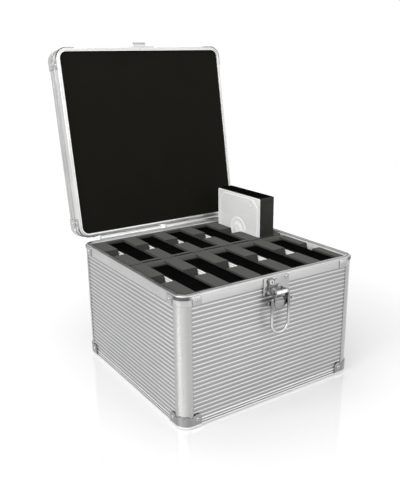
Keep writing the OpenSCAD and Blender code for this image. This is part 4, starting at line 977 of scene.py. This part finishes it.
def handle():
    """The folding handle: two saddles on the lid, a bent steel bow and a grip with collars."""
    foot = plate(box_outline(18, 34, 3), 0, 2, 0.5)
    hump = plate(rounded([(4.85, 0), (4.85, 13.35), (-4.85, 13.35), (-4.85, 0)],
                         [0.05, 4.8, 4.8, 0.05], 9), -4.5, 4.5, 0.5)
    rim = turned([(3.2, 4.3), (4.3, 4.3), (4.3, 4.7), (3.9, 4.9), (3.2, 4.9), (3.2, 4.3)], 32)
    shapes = []
    for x in (-SADDLE_X, SADDLE_X):
        spot, pivot = (x, HANDLE_Y, LID_Z + LID_H), (x, HANDLE_Y, LID_Z + LID_H + 8.5)
        shapes += [placed(foot, spot), placed(hump, spot, OUT_OF_RIGHT)]
        shapes += [placed(rim, pivot, rotation("Z", side) @ OUT_OF_RIGHT) for side in (0, 180)]
    lid_piece("handle_saddles", shapes, [LATCH_STEEL], ["handle_brackets"], "handle_steel")
    # reach is half of the bow's straight, which starts 0.3 mm clear of the saddles
    reach = SADDLE_X - 4.5 - 18 - 0.3
    half = np.concatenate([[(64.4, 0), (60, 0)], arc((reach + 18, 9), 9, -90, -180, 9),
                           arc((reach, 21), 9, 0, 90, 9)])
    line = lifted(np.concatenate([half, half[::-1] * [-1, 1]]), [0])[0]
    piece("handle_steel_bow", "handle", rod(line, 3.0, 20), [HANDLE_STEEL], ["handle_bow"],
          "handle_steel", hang_handle)
    z = np.linspace(-31, 31, 125)
    wave = 6.75 - 0.55 * smooth_step((np.cos(2 * np.pi * z / 6.2) - 0.35) / 0.5)
    collar = [(7.1, -31.4), (7.5, -31.9), (7.6, -32.6), (7.6, -35.0), (7.3, -35.7), (6.8, -36.0),
              (3.0, -36.0)]
    profile = collar[::-1] + list(zip(wave, z)) + [(r, -v) for r, v in collar] + collar[-1:]
    grip = placed(turned(profile, 36), (0, 30, 0), OUT_OF_RIGHT)
    piece("handle_ribbed_grip", "handle", grip, [GRIP_PLASTIC], ["handle_grip"], "handle_grip",
          hang_handle)


# ---- the latch ----


def latch():
    """The latch on the body: its base plate with ears, the lever's pin and the lock."""
    base = placed(plate(box_outline(38, 21.5, 2), 0, LATCH_T, 0.4),
                  (LATCH_X, FRONT, BODY_H - 12.35), OUT_OF_FRONT)
    ear = rounded([(8.4, -3), (8.4, 3), (-3, 3), (-3, -3)], [0.05, 0.05, 2.95, 2.95], 6)
    ears = [placed(plate(ear, 0, LEVER_T, 0.25), (LATCH_X + x, LEVER_Y, LEVER_Z), OUT_OF_RIGHT)
            for x in (-8.8, 7.6)]
    piece("latch_base", "case_body", [base, *ears], [LATCH_STEEL], ["latch_plate"], "latch")
    pin = turned([(0, 0), (1.0, 0), (1.25, 0.25), (1.25, 20.35), (1.0, 20.6), (0, 20.6)], 20)
    sleeve = turned([(0, 2.8), (2.2, 2.8), (2.4, 3.0), (2.4, 17.6), (2.2, 17.8), (0, 17.8)], 24)
    pin_at = (LATCH_X - LEVER_HALF, LEVER_Y, LEVER_Z)
    piece("latch_lever_pin", "case_body", [placed(s, pin_at, OUT_OF_RIGHT) for s in (pin, sleeve)],
          [PIN_CHROME], ["latch_pin"], "latch")
    lock_at = (LATCH_X - 9.5, FRONT - LATCH_T, BODY_H - 6.4)
    ring = turned([(3.55, 0), (4.5, 0), (4.5, 2.7), (4.35, 3.1), (4.0, 3.4), (3.7, 3.35),
                   (3.55, 3.1)], closed=True)
    skirt = np.concatenate([[(-3.7, 0.0)], arc((0, -4.9), 3.7, 180, 360, 16), [(3.7, 0.0)]])
    skirt = plate(skirt, 0, 2.6, 0.3, 0.9)
    piece("lock_bump", "case_body", [placed(s, lock_at, OUT_OF_FRONT) for s in (ring, skirt)],
          [LOCK_METAL], ["lock_housing"], "latch")
    plug = turned([(0, 0), (3.5, 0), (3.5, 3.1), (3.3, 3.3), (1.2, 3.36), (0, 3.36)])
    key = plate(box_outline(1.0, 4.4, 0.3, 2), 2.2, 3.39, 0.05, finish=1)
    piece("lock_cylinder", "lock", [placed(s, lock_at, OUT_OF_FRONT) for s in (plug, key)],
          [LATCH_CHROME, CHIP_BLACK], ["lock_plug"], "latch")


def lever():
    """The latch's lever: two cheeks on the pin, and a shield with a raised tongue, whose rim
    is rounded by 1.4 * (1 - cos a) inwards and 1.4 * sin a outwards."""
    cheek = np.concatenate([arc((0, 0), 3, 10, 180, 10), arc((0.8, -7.5), 3, 190, 225, 3),
                            [(2.9, -12.7), (4.1, -12.7), (4.1, -7.5)]])
    cheeks = [placed(plate(cheek, 0, LEVER_T, 0.3), (x, 0, 0), OUT_OF_RIGHT)
              for x in (-LEVER_HALF, 9.1)]
    shield = rounded([(-LEVER_HALF, -10.2), (-17, -10.2), (-17, -12.7), (-6, -22.5), (6, -22.5),
                      (17, -12.7), (17, -10.2), (LEVER_HALF, -10.2), (LEVER_HALF, -7.5),
                      (-LEVER_HALF, -7.5)],
                     [0.6, 0.9, 1.2, 2, 2, 1.2, 0.9, 0.6, 0.5, 0.5], 4)
    t = np.radians([0, 15, 40, 65, 90])
    tongue = np.concatenate([arc((0, -15), 7.5, 180, 360, 20), [(7.5, -10.3), (-7.5, -10.3)]])
    draw = np.concatenate([[0.0], 1.4 * (1 - np.cos(t))])
    rise = np.concatenate([[0.0], 1.1 + 1.4 * np.sin(t)])
    tongue = drawn_in(tongue, draw, rise)
    tongue = surface(tongue, wrap_v=True, grain=tongue[..., [0, 2, 1]], caps=ENDS)
    shield = plate(shield, 0, LEVER_T, 0.35)
    front = [placed(s, (0, 4.1, 0), OUT_OF_FRONT) for s in (shield, tongue)]
    shapes = [placed(s, (LATCH_X, LEVER_Y, LEVER_Z)) for s in cheeks + front]
    piece("latch_shield_lever", "lever", shapes, [SHIELD_CHROME], ["latch_lever"], "latch")


def bail():
    """The wire bail: from its ends in the lever's cheeks out, down and round its bends."""
    side = np.concatenate([[(9.3, 0.0), (11.2, 0.0)], arc((11.2, -1.3), 1.3, 80, 10, 4),
                           arc((0.5, -30.5), 12, 0, -90, 14)])
    line = np.concatenate([side, side[::-1] * [-1, 1]])
    wire = rod(packed(line[:, 0], 0, line[:, 1]), 1.7, across=(0, 1, 0))
    piece("latch_wire_bail", "bail", placed(wire, (LATCH_X, BAIL_Y, BAIL_Z)), [BAIL_CHROME],
          ["latch_bail"], "latch")


# ---- the drives ----


def bead(outline, width, low, high):
    """A rounded bead along an outline: a half ellipse, width wide and high tall, whose bottom
    lies at low. It takes finish 7, the near-white cover edge, which is a painted highlight."""
    a = np.radians(np.linspace(0, 180, 7))
    points = drawn_in(outline, -np.cos(a) * width / 2, low + np.sin(a) * high)
    return surface(points, wrap_u=True, wrap_v=True, finish=7)


def drive_body():
    """The casting of a drive on its end, with screw holes down both narrow sides and a well
    for the board on its right.

    The casting is its plan carried up through its height; where a screw sits, a square of the
    narrow side is left out and a square-to-round funnel and a bore are put in its place.
    """
    half_t, half_w = DRIVE_T / 2, DRIVE_W / 2
    hole = 2.2
    steps = hole * np.array([-1, -np.tan(np.radians(22.5)), 0, np.tan(np.radians(22.5)), 1])
    plan = rounded([(-half_t + COVER_T, half_w), (-half_t + COVER_T, -half_w), (half_t, -half_w),
                    (half_t, half_w)], 2.0, 5)
    narrow = packed(steps, -half_w)
    board = [(half_t, -BOARD_HALF), (half_t, BOARD_HALF)]
    plan = np.concatenate([plan[:12], narrow, plan[12:18], board, plan[18:], -narrow])
    screws = np.array([28.5, 70.0])
    levels = np.concatenate([[0, 0.3, 1.0, 5.0], (screws[:, None] + steps).reshape(-1),
                             [142.0, 146.0, 146.7, 147.0]])
    inset = np.concatenate([[0.7, 0.3], np.zeros(len(levels) - 4), [0.3, 0.7]])
    points = drawn_in(plan, inset, levels)
    keep = np.ones((len(levels) - 1, len(plan)), bool)
    for low in (4, 9):
        keep[low:low + 4, 12:16] = keep[low:low + 4, 31:35] = False
    keep[3:-3, 23] = False
    casting = surface(points, wrap_v=True, keep=keep, grain=points, caps=ENDS)
    foot, end = casting["caps"]
    made = [{**casting, "caps": [foot]},
            {**casting, "quads": casting["quads"][:0], "caps": [end], "finish": 6}]
    ring = around(np.radians(45 + np.arange(16) * 22.5))
    square = ring / np.abs(ring).max(axis=1, keepdims=True)
    funnel = np.stack([square * hole, ring * 1.7, ring * 1.55, ring * 1.5, ring * 0.0])
    screw = surface(lifted(funnel, [0, 0, -0.2, -3.5, -3.6]), wrap_v=True)
    for h in screws:
        made.append(placed(screw, (0, -half_w, h), OUT_OF_FRONT))
        made.append(placed(screw, (0, half_w, h), OUT_OF_BACK))
    # the well's walls go in from the same points, down to the board
    up = levels[3:-3]
    mouth = np.concatenate([packed(BOARD_HALF, up), packed(-BOARD_HALF, up[::-1])])
    well = lifted(mouth, [half_t, half_t - BOARD_DEEP])[..., [2, 0, 1]]
    well = surface(well, wrap_v=True, caps=[-1])
    return made + [{**well, "caps": []}, {**well, "quads": well["quads"][:0], "finish": 3}]


def drive_cover():
    """The cover of a drive, facing up: a plate up to the edges, its pressed middle with cut
    corners, beads round both painted near white as a painted highlight, the bearing's disc, the
    small ring and screws."""
    wide, tall, half_w = DRIVE_W - 1.6, DRIVE_L - 1.6, DRIVE_W / 2
    middle = (0, DRIVE_L / 2, 0)
    made = [placed(plate(box_outline(wide, tall, 1.4), 0, 0.6, 0.3, finish=1), middle),
            placed(bead(box_outline(wide - 1.6, tall - 1.6, 1.0), 1.5, 0.5, 0.4), middle)]
    x, low, high, cut = half_w - 6, 4.0, DRIVE_L - 4, 10
    field = rounded([(-x + cut, low), (x - cut, low), (x, low + cut), (x, high - cut),
                     (x - cut, high), (-x + cut, high), (-x, high - cut), (-x, low + cut)], 2.5, 4)
    made.append(plate(field, 0.3, 0.95, 0.02, 0.3, finish=1))
    made.append(bead(field - outwards(field) * 0.9, 1.7, 0.85, 0.35))
    disc = turned([(0, 0.8), (18, 0.8), (18, 1.3), (17.7, 1.48), (15.4, 1.48), (15.1, 1.36),
                   (9.2, 1.36), (9.0, 1.48), (5.4, 1.48), (5.2, 1.32), (0, 1.32)], 48, finish=2)
    ring = turned([(3.3, 0.8), (5, 0.8), (5, 1.3), (4.8, 1.45), (3.6, 1.45), (3.4, 1.3),
                   (3.3, 0.8)], 28, finish=1)
    made += [placed(disc, (0, 93, 0)), placed(ring, (31, DRIVE_L - 11.5, 0))]
    head = turned([(0, 0.5), (1.9, 0.5), (1.9, 0.8), (1.7, 0.95), (1.0, 0.98), (0.9, 0.7),
                   (0, 0.65)], 16, finish=1)
    spots = [(x, y, 0) for x in (-half_w + 3.6, half_w - 3.6) for y in (6.5, 60, 100)]
    return made + [placed(head, spot) for spot in spots]


def drive_board():
    """The parts on a drive's board, facing up: chips (x, y, width, depth, height), the motor's
    ring, and a row of contacts with the plug's shroud among the chips."""
    chips = ((12, 84, 17, 17, 1.1), (-16, 96, 12, 9, 1.0), (24, 112, 9, 14, 1.0),
             (-27, 66, 10, 10, 0.9), (-6, 124, 24, 5, 0.8), (30, 64, 6, 4, 0.9),
             (33, 90, 5, 3, 0.7), (-34, 118, 4, 7, 0.8), (4, 20, 40, 8, 1.2))
    made = [placed(block(w, d, h, 0.12, finish=4), (x, y, h / 2)) for x, y, w, d, h in chips]
    motor = turned([(0, 0), (15, 0), (15, 1.0), (14.5, 1.25), (11.5, 1.25), (11, 0.8), (0, 0.8)],
                   40, finish=2)
    pad = block(1.2, 3.2, 0.3, 0.05, finish=5)
    pads = [placed(pad, (x, 10.5, 0.15)) for x in np.arange(-17, 18, 2.0)]
    return [*made, placed(motor, (0, 50, 0)), *pads]


def drives():
    """Ten drives, one to a slot; the last one at the back stands raised as in the picture."""
    half_t = DRIVE_T / 2
    shapes = drive_body()
    shapes += [placed(s, (-half_t + COVER_T, 0, 0), OUT_OF_LEFT) for s in drive_cover()]
    shapes += [placed(s, (half_t - BOARD_DEEP, 0, 0), OUT_OF_RIGHT) for s in drive_board()]
    finishes = [DRIVE_CASTING, DRIVE_COVER, DRIVE_HUB, BOARD_GREEN, CHIP_BLACK, CONTACT_METAL,
                DRIVE_END, COVER_EDGE_HIGHLIGHT]
    for row, side in ((-1, "front"), (1, "back")):
        for i, x in enumerate(SLOT_X, 1):
            up = DRIVE_RAISE if (side, i) == ("back", 5) else 0.0
            at = (x, row * SLOT_Y, FOAM_Z + up)
            name = f"drive_{side}_{i}"
            piece(f"hard_{name}", name, [placed(s, at) for s in shapes], finishes, [name], "drive")


# ---- parts that keep their CAD shape ----


def carried_over():
    """CAD parts whose shape is right get their finish."""
    for name, material in (("bottom_panel", BOTTOM_SHEET), ("lining_boards", LINING_BOARD),
                           ("hinge_body_leaves", HINGE_STEEL), ("hinge_lid_leaves", HINGE_STEEL),
                           ("hinge_pins", LATCH_CHROME)):
        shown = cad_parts[name]
        shown.data.materials.clear()
        shown.data.materials.append(material)


# ---- the studio ----


def seen_by(tree, *rays):
    """1 for these kinds of ray, and 0 for every other."""
    kinds = add(tree, "ShaderNodeLightPath").outputs
    share = kinds[f"Is {rays[0]} Ray"]
    for ray in rays[1:]:
        share = reckon(tree, "ADD", share, kinds[f"Is {ray} Ray"], use_clamp=True)
    return share


def hang_camera():
    """The camera where the photograph's camera stood, by its yaw, pitch and roll."""
    yaw, pitch, roll = np.radians([33.074, -17.307, -0.727])
    ahead = np.array([np.sin(yaw) * np.cos(pitch), np.cos(yaw) * np.cos(pitch), np.sin(pitch)])
    right = np.array([np.cos(yaw), -np.sin(yaw), 0])
    up = np.cross(right, ahead)
    right, up = np.cos(roll) * right + np.sin(roll) * up, -np.sin(roll) * right + np.cos(roll) * up
    camera = bpy.data.cameras.new("camera")
    camera.sensor_fit, camera.sensor_width, camera.lens = "AUTO", 36.0, 45.269
    camera.clip_start, camera.clip_end = 0.01, 50.0
    seen_from = linked("camera", camera)
    turn = Matrix(np.stack([right, up, -ahead], axis=1).tolist()).to_4x4()
    seen_from.matrix_world = Matrix.Translation((-0.4477, -0.6553, 0.4064)) @ turn
    bpy.context.scene.camera = seen_from


def lay_floor():
    """A pale, polished floor that keeps the shadow. A glow lifts it to white for the camera,
    more of it further from the case, and by a little for gloss and glass."""
    size, z = 12.0, -0.0006
    corners = [(-size, -size, z), (size, -size, z), (size, size, z), (-size, size, z)]
    mesh = bpy.data.meshes.new("floor")
    mesh.from_pydata(corners, [], [(0, 1, 2, 3)])
    floor = linked("floor", mesh)
    paper, tree = finish_of("studio_floor", {"Roughness": 0.035, "Specular IOR Level": 1.0})
    place = place_in(tree)
    paint(tree, speckle(tree, place, 3.0, detail=1.0), grey(0.80), grey(0.82))
    away = add(tree, "ShaderNodeVectorMath", {0: place}, operation="LENGTH").outputs["Value"]
    lift = reckon(tree, "MULTIPLY_ADD", seen_by(tree, "Camera"),
                  between(tree, away, 0.2, 0.5, 0.085, 0.235),
                  reckon(tree, "MULTIPLY", seen_by(tree, "Glossy", "Transmission"), 0.2))
    glow = add(tree, "ShaderNodeEmission", {"Strength": lift}).outputs[0]
    surface_of = tree.nodes["Principled BSDF"].outputs[0]
    both = add(tree, "ShaderNodeAddShader", {0: surface_of, 1: glow}).outputs[0]
    tree.links.new(both, tree.nodes["Material Output"].inputs["Surface"])
    mesh.materials.append(paper)


def studio():
    """The camera, the floor, a world that is white to the camera and to gloss and glass, and
    soft lamps, each with its place, its aim, its size and its power."""
    scene = bpy.context.scene
    scene.view_settings.view_transform = "Standard"
    hang_camera()
    lay_floor()
    world = bpy.data.worlds.new("studio")
    world.use_nodes = True
    tree = world.node_tree
    shown = seen_by(tree, "Camera", "Glossy", "Transmission")
    sky = tree.nodes["Background"].inputs
    tree.links.new(between(tree, shown, 0, 1, 0.55, 1.0), sky["Strength"])
    sky["Color"].default_value = (1, 1, 1, 1)
    scene.world = world
    for name, place, aim, size, power in (
            ("key_lamp", (-1.2, -1.0, 1.5), (0, 0, 0.1), 1.4, 14.0),
            ("fill_lamp", (0.8, -1.6, 0.6), (0, 0, 0.1), 1.2, 5.5),
            ("left_lamp", (-1.5, -0.1, 0.9), (0.08, 0.06, 0.18), 0.9, 12.0),
            ("top_lamp", (0.1, 0.3, 1.9), (0, 0, 0.1), 1.4, 8.0)):
        lamp = bpy.data.lights.new(name, "AREA")
        lamp.size, lamp.energy = size, power
        hung = linked(name, lamp)
        hung.location = place
        hung.visible_camera = False
        hung.rotation_mode = "QUATERNION"
        hung.rotation_quaternion = (Vector(aim) - Vector(place)).to_track_quat("-Z", "Y")


studio()
walls()
fittings()
foam()
lid()
keeper()
handle()
latch()
lever()
bail()
drives()
carried_over()
